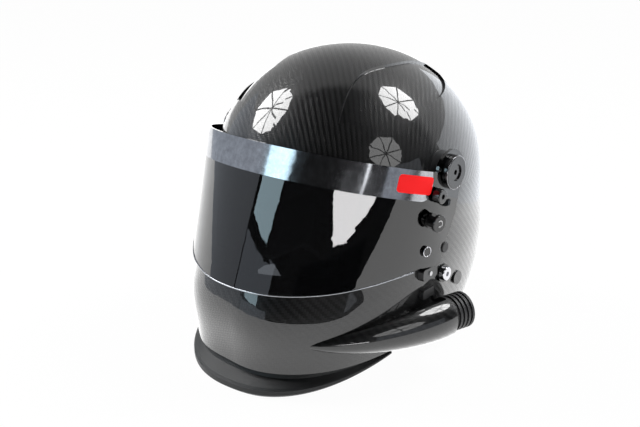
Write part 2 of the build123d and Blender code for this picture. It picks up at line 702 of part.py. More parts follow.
with BuildPart() as guide_screw:
    with BuildSketch(place(guide_spot(), boss_end + GUIDE_HEAD_HIGH)):
        Circle(GUIDE_HEAD)
    extrude(amount=GUIDE_HEAD_HIGH)
    fillet(guide_screw.edges().sort_by(Axis.X)[-1], radius=POST_ROUND)
    with BuildSketch(place(guide_spot(), boss_end + GUIDE_HEAD_HIGH)):
        RegularPolygon(SOCKET, 6)
    extrude(amount=SOCKET_DEEP, mode=Mode.SUBTRACT)
    with BuildSketch(place(guide_spot(), boss_end)):
        Circle(GUIDE_COLLAR)
    extrude(amount=ROOT)
    add(pivot_plate.part, mode=Mode.SUBTRACT)
    add(outer_form, mode=Mode.SUBTRACT)
pieces["guide_screw_left"] = guide_screw
pieces["guide_screw_right"] = twin(guide_screw)

# Rubber stops, rests under the visor's heels, each rest with its screw
with BuildPart() as visor_stop:
    with BuildSketch(place(STOP, shell_left(STOP) + STOP_PROUD)):
        Circle(STOP_RADIUS)
    extrude(amount=ROOT)
    fillet(visor_stop.edges().sort_by(Axis.X)[-1], radius=POST_ROUND)
    add(outer_form, mode=Mode.SUBTRACT)
pieces["visor_stop_left"] = visor_stop
pieces["visor_stop_right"] = twin(visor_stop)

rest_out = shell_left(REST) + REST_PROUD
with BuildPart() as visor_rest:
    with BuildSketch(place(REST, rest_out)):
        RectangleRounded(REST_LONG, REST_HIGH, REST_ROUND)
    extrude(amount=ROOT)
    add(outer_form, mode=Mode.SUBTRACT)
    with BuildSketch(place(REST, rest_out)):
        Circle(REST_SCREW)
    extrude(amount=REST_PROUD / 2, mode=Mode.SUBTRACT)
pieces["visor_rest_left"] = visor_rest
pieces["visor_rest_right"] = twin(visor_rest)

with BuildPart() as rest_screw:
    with BuildSketch(place(REST, rest_out + REST_SCREW_PROUD)):
        Circle(REST_SCREW)
    extrude(amount=REST_SCREW_PROUD + REST_PROUD / 2)
pieces["rest_screws"] = both_sides(rest_screw)

# Anchors of the frontal head restraint: insert in the shell, washer and socket screw
with BuildPart() as restraint_insert:
    with BuildSketch(place(ANCHOR, anchor_out - SHELL_WALL - 2 * FIT_GAP)):
        Circle(INSERT_RADIUS)
    extrude(amount=INSERT_HIGH)
    with BuildSketch(place(ANCHOR, anchor_out - INSERT_BELOW)):
        Circle(INSERT_BARREL)
    extrude(amount=SHELL_WALL + INSERT_HIGH)
    with BuildSketch(place(ANCHOR, anchor_out)):
        Circle(ANCHOR_SHANK)
    extrude(amount=ROOT, mode=Mode.SUBTRACT)
    add(outer_shell.part, mode=Mode.SUBTRACT)
pieces["restraint_inserts"] = both_sides(restraint_insert)

with BuildPart() as restraint_washer:
    with BuildSketch(place(ANCHOR, anchor_out + WASHER_HIGH)):
        Circle(WASHER_RADIUS)
        Circle(ANCHOR_SHANK, mode=Mode.SUBTRACT)
    extrude(amount=ROOT)
    add(outer_form, mode=Mode.SUBTRACT)
pieces["restraint_washers"] = both_sides(restraint_washer)

with BuildPart() as restraint_screw:
    with BuildSketch(place(ANCHOR, anchor_out + WASHER_HIGH + ANCHOR_HEAD_HIGH)):
        Circle(ANCHOR_HEAD)
    extrude(amount=ANCHOR_HEAD_HIGH)
    fillet(restraint_screw.edges().sort_by(Axis.X)[-1], radius=POST_ROUND)
    with BuildSketch(place(ANCHOR, anchor_out + WASHER_HIGH + ANCHOR_HEAD_HIGH)):
        RegularPolygon(ANCHOR_SOCKET, 6)
    extrude(amount=ANCHOR_SOCKET_DEEP, mode=Mode.SUBTRACT)
    with BuildSketch(place(ANCHOR, anchor_out + WASHER_HIGH)):
        Circle(ANCHOR_SHANK)
    extrude(amount=WASHER_HIGH + SHELL_WALL + INSERT_HIGH)
pieces["restraint_screws"] = both_sides(restraint_screw)

# Side duct: a horn through five stations, cut to the shell, with a round mouth for the nozzle
duct_points = []
for run, spread, rise, swell in DUCT_PATH_SHARES:
    ahead, left, up = [tip + (end - tip) * share
                       for tip, end, share in zip(DUCT_TIP, DUCT_END, (run, spread, rise))]
    duct_points.append((Vector(left, -ahead, up), DUCT_RADIUS * swell))
duct_axis = (duct_points[-1][0] - duct_points[-2][0])
duct_axis = Vector(duct_axis.X, duct_axis.Y, 0).normalized()
duct_across = Vector(duct_axis.Y, -duct_axis.X, 0)
mouth = duct_points[-1][0]
with BuildPart() as side_air_duct:
    for index, (centre, radius) in enumerate(duct_points):
        before = duct_points[max(index - 1, 0)][0]
        after = duct_points[min(index + 1, len(duct_points) - 1)][0]
        along = (after - before).normalized()
        with BuildSketch(Plane(origin=centre, x_dir=(along.Y, -along.X, 0), z_dir=-along)):
            with BuildLine():
                bottom, outer, crest = [(across * radius, up * radius) for across, up in
                                        (DUCT_BOTTOM_SHARES, DUCT_OUTER_SHARES, DUCT_CREST_SHARES)]
                root = -DUCT_INNER_SHARE * radius
                ThreePointArc(bottom, outer, crest)
                Polyline(crest, (root, DUCT_GROOVE_SHARE * radius), (root, bottom[1]), bottom)
            make_face()
    loft()
    with BuildSketch(Plane(origin=mouth, x_dir=duct_axis, z_dir=duct_across)):
        with Locations((-SPIGOT_DEEP - FIT_GAP, 0)):
            Rectangle(SPIGOT_DEEP + 2 * SPIGOT_RADIUS, SPIGOT_RADIUS + FIT_GAP, align=(Align.MIN, Align.MIN))
        with BuildLine():
            Polyline((-SPIGOT_DEEP, 0), (-SPIGOT_DEEP, NOZZLE_BORE), (-DUCT_TAPER_DEEP, DUCT_TAPER_RADIUS),
                     (-DUCT_TAPER_DEEP, 0), (-SPIGOT_DEEP, 0))
        make_face()
    revolve(axis=Axis(mouth, duct_axis), mode=Mode.SUBTRACT)
    add(outer_form, mode=Mode.SUBTRACT)
pieces["side_air_duct"] = side_air_duct

with BuildPart() as duct_nozzle:
    with BuildSketch(Plane(origin=mouth, x_dir=duct_axis, z_dir=duct_across)):
        with Locations((-SPIGOT_DEEP, NOZZLE_BORE)):
            Rectangle(SPIGOT_DEEP + NOZZLE_COLLAR, SPIGOT_RADIUS - NOZZLE_BORE, align=(Align.MIN, Align.MIN))
        with Locations((FIT_GAP, NOZZLE_BORE)):
            Rectangle(NOZZLE_COLLAR - FIT_GAP, RIB_RADIUS - NOZZLE_BORE, align=(Align.MIN, Align.MIN))
            Rectangle(NOZZLE_LONG - FIT_GAP, NOZZLE_RADIUS - NOZZLE_BORE, align=(Align.MIN, Align.MIN))
        for rib in range(RIB_COUNT):
            with Locations((NOZZLE_LONG - RIB_WIDE - rib * RIB_PITCH, NOZZLE_BORE)):
                Rectangle(RIB_WIDE, RIB_RADIUS - NOZZLE_BORE, align=(Align.MIN, Align.MIN))
    revolve(axis=Axis(mouth, duct_axis))
    add(outer_form, mode=Mode.SUBTRACT)
pieces["duct_nozzle"] = duct_nozzle

with BuildPart() as duct_outlet_cover:
    with BuildSketch(place(OUTLET, shell_left(OUTLET) + OUTLET_PROUD)):
        RectangleRounded(OUTLET_LONG, OUTLET_HIGH, OUTLET_ROUND)
    extrude(amount=ROOT)
    add(outer_form, mode=Mode.SUBTRACT)
    add(side_air_duct.part, mode=Mode.SUBTRACT)
pieces["duct_outlet_cover"] = duct_outlet_cover

# Foam liner, with pockets for the nuts, inserts and straps
with BuildPart() as impact_liner:
    add(helmet_form(SHELL_WALL + 2 * FIT_GAP, ruled=True))
    with BuildSketch(side(FAR)):
        with BuildLine():
            Polyline((FAR, FAR), (FAR, LINER_BROW), (LINER_FACE, LINER_BROW), (LINER_FACE, LINER_LOW),
                     (LINER_REAR_START / 2, LINER_LOW), (LINER_REAR_START, LINER_REAR_LOW),
                     (-FAR, LINER_REAR_LOW), (-FAR, FAR), (FAR, FAR))
        make_face()
    extrude(amount=FAR, mode=Mode.INTERSECT)
    add(cavity_form(0), mode=Mode.SUBTRACT)
    for spot, radius, deep in ((PIVOT, NUT_RADIUS, pivot_out - PIVOT_SHANK_END + POCKET_GAP),
                               (ANCHOR, INSERT_RADIUS, SHELL_WALL + INSERT_HIGH + 2 * POCKET_GAP)):
        with BuildSketch(place(spot, shell_left(spot))):
            Circle(radius + POCKET_GAP)
        extrude(amount=deep, mode=Mode.SUBTRACT)
    with BuildSketch(place((STRAP_CENTRE, 0), FAR)):
        Rectangle(STRAP_WIDE + 2 * POCKET_GAP, 2 * (STRAP_LEFT[0][1] + STRAP_POCKET))
    extrude(amount=FAR - STRAP_LEFT[1][0] + STRAP_THICK + STRAP_POCKET, mode=Mode.SUBTRACT)
    mirror(about=Plane.YZ)
pieces["impact_liner"] = impact_liner


def lining(low, high, rear, front, thick):
    """A pad on the wall of the head room, between two heights and two reaches."""
    with BuildPart() as pad:
        add(cavity_form(FIT_GAP))
        with BuildSketch(side()):
            with Locations((rear, low)):
                Rectangle(front - rear, high - low, align=(Align.MIN, Align.MIN))
        extrude(amount=FAR, both=True, mode=Mode.INTERSECT)
        add(cavity_form(thick), mode=Mode.SUBTRACT)
    return pad


pieces["crown_pad"] = lining(CROWN_PAD_LOW, FAR, -FAR, FAR, PAD_THICK)
pieces["brow_pad"] = lining(BROW_PAD_LOW, BROW_PAD_HIGH, BROW_PAD_REAR, FAR, PAD_THICK)
pieces["neck_roll"] = lining(NECK_ROLL_LOW, NECK_ROLL_HIGH, -FAR, NECK_ROLL_FRONT, NECK_ROLL_THICK)

with BuildPart() as cheek_pad:
    for depth, size in CHEEK_DEPTH_SHARES:
        with BuildSketch(place(CHEEK_CENTRE, CHEEK_OUT - depth * CHEEK_THICK)):
            with BuildLine():
                oval(size * CHEEK_LONG / 2, size * CHEEK_LONG / 2, size * CHEEK_HIGH / 2, CHEEK_POWER)
            make_face()
    loft()
    add(cavity_form(FIT_GAP), mode=Mode.INTERSECT)
pieces["cheek_pad_left"] = cheek_pad
pieces["cheek_pad_right"] = twin(cheek_pad)

with BuildPart() as chin_bar_liner:
    add(helmet_form(SHELL_WALL + FIT_GAP, ruled=True))
    add(helmet_form(SHELL_WALL + CHIN_PAD_THICK, ruled=True), mode=Mode.SUBTRACT)
    with BuildSketch(side()):
        with Locations((CHIN_PAD_REAR, CHIN_PAD_LOW)):
            Rectangle(FAR, CHIN_PAD_HIGH - CHIN_PAD_LOW, align=(Align.MIN, Align.MIN))
    extrude(amount=FAR, both=True, mode=Mode.INTERSECT)
pieces["chin_bar_liner"] = chin_bar_liner

# Chin strap: two lengths of webbing, the left with a loop for the two rings
strap_view = Plane(origin=(0, -STRAP_CENTRE, 0), x_dir=(1, 0, 0), z_dir=(0, -1, 0))
loop_wide = RING_WIRE + RING_APART + 2 * LOOP_ROOM
loop_high = RING_WIRE + 2 * LOOP_ROOM
with BuildPart() as chin_strap_left:
    with BuildSketch(strap_view):
        with BuildLine():
            FilletPolyline(*STRAP_LEFT, radius=STRAP_BENDS)
        trace(line_width=STRAP_THICK)
        with Locations(RING_CENTRE):
            RectangleRounded(loop_wide + 2 * LOOP_WALL, loop_high + 2 * LOOP_WALL, 2 * LOOP_WALL)
            RectangleRounded(loop_wide, loop_high, LOOP_WALL, mode=Mode.SUBTRACT)
    extrude(amount=STRAP_WIDE / 2, both=True)
    with BuildSketch(place(RIVET, FAR)):
        Circle(RIVET_SHANK + SCREW_GAP)
    extrude(amount=FAR, mode=Mode.SUBTRACT)
pieces["chin_strap_left"] = chin_strap_left

with BuildPart() as chin_strap_right:
    with BuildSketch(strap_view):
        with BuildLine():
            FilletPolyline(*STRAP_RIGHT, radius=STRAP_BENDS)
        trace(line_width=STRAP_THICK)
    extrude(amount=STRAP_WIDE / 2, both=True)
    with BuildSketch(place(RIVET)):
        Circle(RIVET_SHANK + SCREW_GAP)
    extrude(amount=FAR, mode=Mode.SUBTRACT)
pieces["chin_strap_right"] = chin_strap_right

rivet_end = STRAP_LEFT[0][0] - STRAP_THICK / 2 - FIT_GAP
with BuildPart() as strap_rivet:
    with BuildSketch(place(RIVET, rivet_out + RIVET_HEAD_HIGH)):
        Circle(RIVET_HEAD)
    extrude(amount=ROOT)
    add(outer_form, mode=Mode.SUBTRACT)
    with BuildSketch(place(RIVET, rivet_out + RIVET_HEAD_HIGH)):
        Circle(RIVET_SHANK)
    extrude(amount=rivet_out + RIVET_HEAD_HIGH - rivet_end)
    with BuildSketch(place(RIVET, rivet_end)):
        Circle(RIVET_TAIL)
    extrude(amount=RIVET_TAIL_HIGH)
pieces["strap_rivets"] = both_sides(strap_rivet)

ring_arms = RING_LONG - RING_HALF
for name, shift in (("d_ring_outer", RING_APART / 2), ("d_ring_inner", -RING_APART / 2)):
    with BuildPart() as ring:
        with BuildSketch(Plane(origin=(RING_CENTRE[0] + shift - RING_WIRE / 2, -STRAP_CENTRE, RING_CENTRE[1]),
                               x_dir=(0, 1, 0), z_dir=(1, 0, 0))):
            for grow, mode in ((RING_WIRE / 2, Mode.ADD), (-RING_WIRE / 2, Mode.SUBTRACT)):
                with BuildLine():
                    Polyline((RING_HALF, -ring_arms), (RING_HALF, 0), (-RING_HALF, 0), (-RING_HALF, -ring_arms))
                    ThreePointArc((-RING_HALF, -ring_arms), (0, -RING_LONG), (RING_HALF, -ring_arms))
                    offset(amount=grow, kind=Kind.ARC)
                make_face(mode=mode)
        extrude(amount=RING_WIRE)
        fillet(ring.edges().group_by(Axis.X)[0] + ring.edges().group_by(Axis.X)[-1], radius=RING_ROUND)
    pieces[name] = ring

for name, piece in pieces.items():
    piece.part.label = name
    export_step(piece.part, f"parts/{name}.step")
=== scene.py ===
# %% [markdown]
# # A full-face racing helmet
# The solids of this helmet come from a CAD model and are loaded as a fixed frame, in metres, with the
# helmet facing along -Y and the floor at z = 0. This lesson dresses them: it sets the camera and the light,
# gives every solid its finish, and models the soft parts that CAD can only block out. Dressing must not
# make the helmet any bigger.
# %% Load the frame
import math

import bpy
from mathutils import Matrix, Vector


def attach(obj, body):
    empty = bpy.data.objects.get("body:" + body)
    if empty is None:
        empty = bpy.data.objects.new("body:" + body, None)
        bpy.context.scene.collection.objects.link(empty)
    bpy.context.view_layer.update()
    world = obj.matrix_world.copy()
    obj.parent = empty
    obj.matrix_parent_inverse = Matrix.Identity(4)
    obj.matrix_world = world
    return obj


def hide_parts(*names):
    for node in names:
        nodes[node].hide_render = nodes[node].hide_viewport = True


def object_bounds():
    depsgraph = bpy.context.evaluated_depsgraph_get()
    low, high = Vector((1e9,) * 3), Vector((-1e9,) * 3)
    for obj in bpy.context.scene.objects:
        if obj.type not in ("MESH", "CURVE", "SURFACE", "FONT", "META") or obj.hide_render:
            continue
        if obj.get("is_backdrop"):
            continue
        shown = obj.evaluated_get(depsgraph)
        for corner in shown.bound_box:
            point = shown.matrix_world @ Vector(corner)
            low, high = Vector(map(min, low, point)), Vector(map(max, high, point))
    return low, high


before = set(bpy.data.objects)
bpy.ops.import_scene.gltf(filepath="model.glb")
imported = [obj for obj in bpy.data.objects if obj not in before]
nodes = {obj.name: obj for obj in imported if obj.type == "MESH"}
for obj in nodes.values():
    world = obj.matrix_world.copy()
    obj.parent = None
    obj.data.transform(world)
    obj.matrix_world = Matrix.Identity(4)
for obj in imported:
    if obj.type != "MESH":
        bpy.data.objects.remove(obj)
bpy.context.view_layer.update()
bpy.ops.object.select_all(action="DESELECT")

# %% Helpers for nodes and for staged things


def reckon(tree, operation, first, second=None, third=None, clamp=False):
    """A Math node: each operand is a number or a socket."""
    node = tree.nodes.new("ShaderNodeMath")
    node.operation = operation
    node.use_clamp = clamp
    for index, operand in enumerate((first, second, third)):
        if isinstance(operand, (int, float)):
            node.inputs[index].default_value = operand
        elif operand is not None:
            tree.links.new(operand, node.inputs[index])
    return node.outputs[0]


def only_mirrored(thing):
    """Stage a thing that shows in reflections and nowhere else."""
    thing.visible_camera = thing.visible_diffuse = thing.visible_transmission = thing.visible_shadow = False
    thing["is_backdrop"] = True


# %% [markdown]
# ## The camera
# The helmet was photographed from its left front, a little above. The camera's place was solved from points
# that are easy to name in such a picture, like the ends of the visor and the pivot screws, so the lens and
# the distance agree with each other. A camera is aimed by a quaternion that turns its -Z axis to the target.
# %% Camera
CAMERA_PLACE = Vector((0.6430, -0.8272, 0.4975))
CAMERA_TARGET = Vector((-0.0089, -0.0229, 0.1259))
bpy.ops.object.camera_add(location=CAMERA_PLACE)
camera = bpy.context.object
camera.name = "photo_camera"
camera.rotation_mode = "QUATERNION"
camera.rotation_quaternion = (CAMERA_TARGET - CAMERA_PLACE).to_track_quat("-Z", "Y")
camera.data.sensor_width = 36
camera.data.lens = 64.35
bpy.context.scene.camera = camera
bpy.context.scene.view_settings.view_transform = "Standard"

# %% [markdown]
# ## Floor and studio
# A black clear-coated shell is nearly a mirror: what the eye sees on it is the room. Here the room is a white
# table top and a white backdrop behind the helmet, and a dark studio in front with two shoot-through umbrellas.
# The floor is white for the camera and for reflections, and only a little of its shading shows, which
# leaves a faint shadow under the helmet. A table that prints as pure white is brighter than white, so
# reflections see it at its full strength. The world is white for the camera too, and in reflections it is
# bright behind the helmet and dark in front of it.
# %% Floor
TOWARDS = Vector((CAMERA_PLACE.x, CAMERA_PLACE.y, 0)).normalized()
TABLE_AHEAD = 0.88
TABLE_SIZE = 6.0
TABLE_MIRRORED = 1.9
TABLE_GLOW_SHARE = 0.975
bpy.ops.mesh.primitive_plane_add(size=TABLE_SIZE)
floor = bpy.context.object
floor.name = "table_top"
floor.rotation_euler.z = math.atan2(TOWARDS.y, TOWARDS.x)
floor.location = -TOWARDS * (TABLE_SIZE / 2 - TABLE_AHEAD)
bpy.ops.object.transform_apply(location=True, rotation=True, scale=True)
floor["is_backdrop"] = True


table_finish = bpy.data.materials.new("white_table")
table_finish.use_nodes = True
tree = table_finish.node_tree
tree.nodes.clear()
output = tree.nodes.new("ShaderNodeOutputMaterial")
blend = tree.nodes.new("ShaderNodeMixShader")
paint = tree.nodes.new("ShaderNodeBsdfDiffuse")
paint.inputs["Color"].default_value = (0.8, 0.8, 0.8, 1)
glow = tree.nodes.new("ShaderNodeEmission")
rays = tree.nodes.new("ShaderNodeLightPath").outputs
overexposed = reckon(tree, "MULTIPLY_ADD", rays["Is Glossy Ray"], TABLE_MIRRORED - 1, 1.0)
seen = reckon(tree, "MAXIMUM", rays["Is Camera Ray"], rays["Is Glossy Ray"])
seen = reckon(tree, "MAXIMUM", seen, rays["Is Transmission Ray"])
tree.links.new(overexposed, glow.inputs["Strength"])
tree.links.new(reckon(tree, "MULTIPLY", seen, TABLE_GLOW_SHARE), blend.inputs[0])
tree.links.new(paint.outputs[0], blend.inputs[1])
tree.links.new(glow.outputs[0], blend.inputs[2])
tree.links.new(blend.outputs[0], output.inputs["Surface"])
floor.data.materials.append(table_finish)

# %% World
world = bpy.data.worlds.new("studio")
bpy.context.scene.world = world
world.use_nodes = True
tree = world.node_tree
tree.nodes.clear()
output = tree.nodes.new("ShaderNodeOutputWorld")
room = tree.nodes.new("ShaderNodeBackground")
room.inputs["Color"].default_value = (1, 1, 1, 1)
coordinates = tree.nodes.new("ShaderNodeTexCoord")
behind = tree.nodes.new("ShaderNodeVectorMath")
behind.operation = "DOT_PRODUCT"
behind.inputs[1].default_value = -TOWARDS
edge = tree.nodes.new("ShaderNodeMapRange")
edge.interpolation_type = "SMOOTHSTEP"
for name, value in (("From Min", 0.02), ("From Max", 0.22), ("To Min", 0.028), ("To Max", 0.64)):
    edge.inputs[name].default_value = value
rays = tree.nodes.new("ShaderNodeLightPath").outputs
plain = reckon(tree, "MAXIMUM", rays["Is Camera Ray"], rays["Is Transmission Ray"])
tree.links.new(coordinates.outputs["Generated"], behind.inputs[0])
tree.links.new(behind.outputs["Value"], edge.inputs["Value"])
tree.links.new(reckon(tree, "MAXIMUM", plain, edge.outputs["Result"]), room.inputs["Strength"])
tree.links.new(room.outputs[0], output.inputs["Surface"])

# %% [markdown]
# ## Umbrellas
# The star shapes on the crown are photographic umbrellas. Two of them are lit from within, and a third, lower
# one only catches their light. Each is a cone with eight sides, inset along its edges so that the ribs between
# the bright panels stay dark. They show in reflections only, and plain area lamps at the places of the lit two
# light the helmet. For each, the dictionary gives the spot on the crown that mirrors it, the direction from
# there and how brightly its cloth glows.
# %% Umbrellas and lamps
UMBRELLA_RADIUS = 0.45
UMBRELLA_FAR = 1.6
UMBRELLA_DEEP = 0.18
RIB_WIDTH = 0.014
LAMP_POWER = 26
UNLIT = "umbrella_low"
UMBRELLAS = {"umbrella_right": ((-0.009, -0.090, 0.244), (-0.738, -0.281, 0.613), 15.0),
             "umbrella_left": ((0.082, -0.0235, 0.251), (0.381, 0.513, 0.769), 15.0),
             UNLIT: ((0.087, -0.066, 0.218), (0.853, -0.150, 0.500), 3.2)}


def glowing(title, strength, color=(1.0, 1.0, 1.0)):
    """A material that only glows."""
    paper = bpy.data.materials.new(title)
    paper.use_nodes = True
    paper.node_tree.nodes.clear()
    end = paper.node_tree.nodes.new("ShaderNodeOutputMaterial")
    light = paper.node_tree.nodes.new("ShaderNodeEmission")
    light.inputs["Color"].default_value = (*color, 1)
    light.inputs["Strength"].default_value = strength
    paper.node_tree.links.new(light.outputs[0], end.inputs["Surface"])
    return paper


rib = bpy.data.materials.new("umbrella_rib")
rib.use_nodes = True
rib.node_tree.nodes["Principled BSDF"].inputs["Base Color"].default_value = (0.01, 0.01, 0.01, 1)

for name, (spot, direction, strength) in UMBRELLAS.items():
    place = Vector(spot) + Vector(direction) * UMBRELLA_FAR
    aim = (Vector(spot) - place).to_track_quat("-Z", "Y")
    bpy.ops.mesh.primitive_cone_add(vertices=8, radius1=UMBRELLA_RADIUS, depth=UMBRELLA_DEEP,
                                    end_fill_type="NOTHING", location=place, rotation=aim.to_euler())
    umbrella = bpy.context.object
    umbrella.name = name
    bpy.ops.object.mode_set(mode="EDIT")
    bpy.ops.mesh.select_all(action="SELECT")
    bpy.ops.mesh.inset(thickness=RIB_WIDTH, use_individual=True)
    bpy.ops.object.mode_set(mode="OBJECT")
    umbrella.data.materials.append(rib)
    umbrella.data.materials.append(glowing(name + "_cloth", strength))
    for face in umbrella.data.polygons:
        face.material_index = 1 if face.select else 0
    bpy.ops.object.transform_apply(location=True, rotation=True, scale=True)
    only_mirrored(umbrella)
    if name == UNLIT:
        continue
    bpy.ops.object.light_add(type="AREA", location=place, rotation=aim.to_euler())
    lamp = bpy.context.object
    lamp.name = name + "_lamp"
    lamp.data.shape = "DISK"
    lamp.data.size = 2 * UMBRELLA_RADIUS
    lamp.data.energy = LAMP_POWER
    lamp.visible_glossy = lamp.visible_camera = lamp.visible_transmission = False
    print(name, "at", [round(v, 2) for v in place])

# %% [markdown]
# ## Panels of light
# The shield is curved like a wine glass, so it squeezes the whole room into a few upright shapes. A window
# gives the pale blue band, and the pale walls between them give the grey areas. A bounce card behind the
# helmet brightens its far edge. Each is a plane turned towards the helmet, placed by its bearing from the
# front and its height above the horizon, both in degrees. The white wedge is a softbox whose corners are
# worked out backwards: each lies where the ray goes that is mirrored at one corner of the wedge. A black
# flag keeps that softbox off the chin bar. They light nothing: they are only there to be mirrored.
# %% Panels
PANEL_FAR = 2.2
PANEL_CENTRE = Vector((0.05, -0.08, 0.17))


def bearing(turn, rise):
    """The direction that is turn degrees from -Y towards +X and rise degrees up."""
    turn, rise = math.radians(turn), math.radians(rise)
    return Vector((math.sin(turn) * math.cos(rise), -math.cos(turn) * math.cos(rise), math.sin(rise)))


def light_panel(title, turns, rises, strength, color, tilt=0.0, far=PANEL_FAR):
    """A glowing plane between two bearings and two heights, tilted in its own plane by tilt degrees."""
    bpy.ops.object.select_all(action="DESELECT")
    bpy.ops.mesh.primitive_plane_add(size=1)
    panel = bpy.context.object
    panel.name = title
    panel.scale = (2 * far * math.tan(math.radians(turns[1] - turns[0]) / 2),
                   2 * far * math.tan(math.radians(rises[1] - rises[0]) / 2), 1)
    panel.rotation_euler.z = math.radians(tilt)
    bpy.ops.object.transform_apply(location=True, rotation=True, scale=True)
    towards = bearing(sum(turns) / 2, sum(rises) / 2)
    panel.rotation_euler = towards.to_track_quat("Z", "Y").to_euler()
    panel.location = PANEL_CENTRE + towards * far
    bpy.ops.object.transform_apply(location=True, rotation=True, scale=True)
    panel.data.materials.append(glowing(title + "_glow", strength, color))
    only_mirrored(panel)


# %% Softbox and the other panels
SOFTBOX_MIRRORED = [((0.073, -0.106, 0.184), 24.3, 8.5), ((0.079, -0.114, 0.142), 37.5, 2.9),
                    ((0.086, -0.107, 0.143), 45.4, 0.4), ((0.101, -0.084, 0.180), 60.6, -3.5),
                    ((0.101, -0.084, 0.180), 60.6, -0.5), ((0.073, -0.106, 0.184), 24.3, 11.5)]
bpy.ops.object.select_all(action="DESELECT")
bpy.ops.mesh.primitive_circle_add(vertices=len(SOFTBOX_MIRRORED), fill_type="NGON")
softbox = bpy.context.object
softbox.name = "softbox"
for point, (spot, turn, rise) in zip(softbox.data.vertices, SOFTBOX_MIRRORED):
    point.co = Vector(spot) + bearing(turn, rise) * PANEL_FAR
softbox.data.materials.append(glowing("softbox_glow", 13.0, (1.0, 0.99, 1.0)))
only_mirrored(softbox)
light_panel("black_flag", (15, 64), (-16, -5.5), 0.0, (1.0, 1.0, 1.0), tilt=-8, far=0.30)
light_panel("slit_light", (46.5, 48.5), (10, 17), 5.0, (1.0, 1.0, 1.0))
light_panel("window", (-35, -17), (10, 28), 4.5, (0.66, 0.89, 1.0))
light_panel("wall_left", (-100, -38), (-16, 26), 0.8, (0.84, 0.90, 1.0))
light_panel("wall_front_left", (-37, -4), (-16, 9), 0.9, (0.80, 0.88, 1.0))
light_panel("wall_right", (66, 112), (-4, 18), 0.7, (0.86, 0.91, 1.0))
light_panel("bounce_card", (138, 195), (-17, 20), 2.0, (0.93, 0.96, 1.0), far=0.55)

# %% [markdown]
# ## Node groups that the finishes share
# Carbon cloth is a 2/2 twill: each tow passes over two and under two of the others, one step further along in
# the next row, which draws the diagonal lines that everybody knows. The group takes a place on the unrolled
# cloth and gives back how high the tow lies there and whether it runs along or across. Another group gives
# the fine unevenness of moulded surfaces, and a third the knit of a fabric.
# The knit's colour is painted darker in its hollows, which is painted shade.
# %% Group: twill


def new_group(title, inputs, outputs):
    """An empty shader group with named sockets, and its two end nodes."""
    group = bpy.data.node_groups.new(title, "ShaderNodeTree")
    for name, kind, value in inputs:
        socket = group.interface.new_socket(name, in_out="INPUT", socket_type=kind)
        if value is not None:
            socket.default_value = value
    for name, kind in outputs:
        group.interface.new_socket(name, in_out="OUTPUT", socket_type=kind)
    return group, group.nodes.new("NodeGroupInput"), group.nodes.new("NodeGroupOutput")


twill, entry, leave = new_group(
    "twill_cloth",
    [("Place", "NodeSocketVector", None), ("Tow", "NodeSocketFloat", 0.002)],
    [("Over", "NodeSocketFloat"), ("Height", "NodeSocketFloat"), ("Streak", "NodeSocketFloat")])
split = twill.nodes.new("ShaderNodeSeparateXYZ")
twill.links.new(entry.outputs["Place"], split.inputs[0])
across = reckon(twill, "DIVIDE", split.outputs["X"], entry.outputs["Tow"])
along = reckon(twill, "DIVIDE", split.outputs["Y"], entry.outputs["Tow"])
row = reckon(twill, "FLOOR", across)
step = reckon(twill, "FLOOR", along)
turn = reckon(twill, "FLOORED_MODULO", reckon(twill, "ADD", row, step), 4.0)
over = reckon(twill, "LESS_THAN", turn, 1.5)
ridge = []
for count in (across, along):
    middle = reckon(twill, "ABSOLUTE", reckon(twill, "SUBTRACT", reckon(twill, "FRACT", count), 0.5))
    slope = reckon(twill, "POWER", reckon(twill, "MULTIPLY", middle, 2.0), 2.4)
    ridge.append(reckon(twill, "SUBTRACT", 1.0, slope))
height = reckon(twill, "ADD", reckon(twill, "MULTIPLY", over, ridge[0]),
                reckon(twill, "MULTIPLY", reckon(twill, "SUBTRACT", 1.0, over), ridge[1]))
fibres = twill.nodes.new("ShaderNodeTexNoise")
fibres.inputs["Scale"].default_value = 700
fibres.inputs["Detail"].default_value = 3
twill.links.new(entry.outputs["Place"], fibres.inputs["Vector"])
twill.links.new(over, leave.inputs["Over"])
twill.links.new(height, leave.inputs["Height"])
twill.links.new(fibres.outputs["Fac"], leave.inputs["Streak"])

# %% Group: fine grain
grain, entry, leave = new_group(
    "fine_grain",
    [("Scale", "NodeSocketFloat", 900.0), ("Depth", "NodeSocketFloat", 0.00002),
     ("Smudge scale", "NodeSocketFloat", 30.0)],
    [("Smudge", "NodeSocketFloat"), ("Normal", "NodeSocketVector")])
place = grain.nodes.new("ShaderNodeTexCoord")
pits = grain.nodes.new("ShaderNodeTexNoise")
pits.inputs["Detail"].default_value = 4
smudge = grain.nodes.new("ShaderNodeTexNoise")
smudge.inputs["Detail"].default_value = 3
bump = grain.nodes.new("ShaderNodeBump")
for source, socket in ((pits, "Scale"), (smudge, "Smudge scale")):
    grain.links.new(place.outputs["Object"], source.inputs["Vector"])
    grain.links.new(entry.outputs[socket], source.inputs["Scale"])
grain.links.new(pits.outputs["Fac"], bump.inputs["Height"])
grain.links.new(entry.outputs["Depth"], bump.inputs["Distance"])
grain.links.new(smudge.outputs["Fac"], leave.inputs["Smudge"])
grain.links.new(bump.outputs["Normal"], leave.inputs["Normal"])

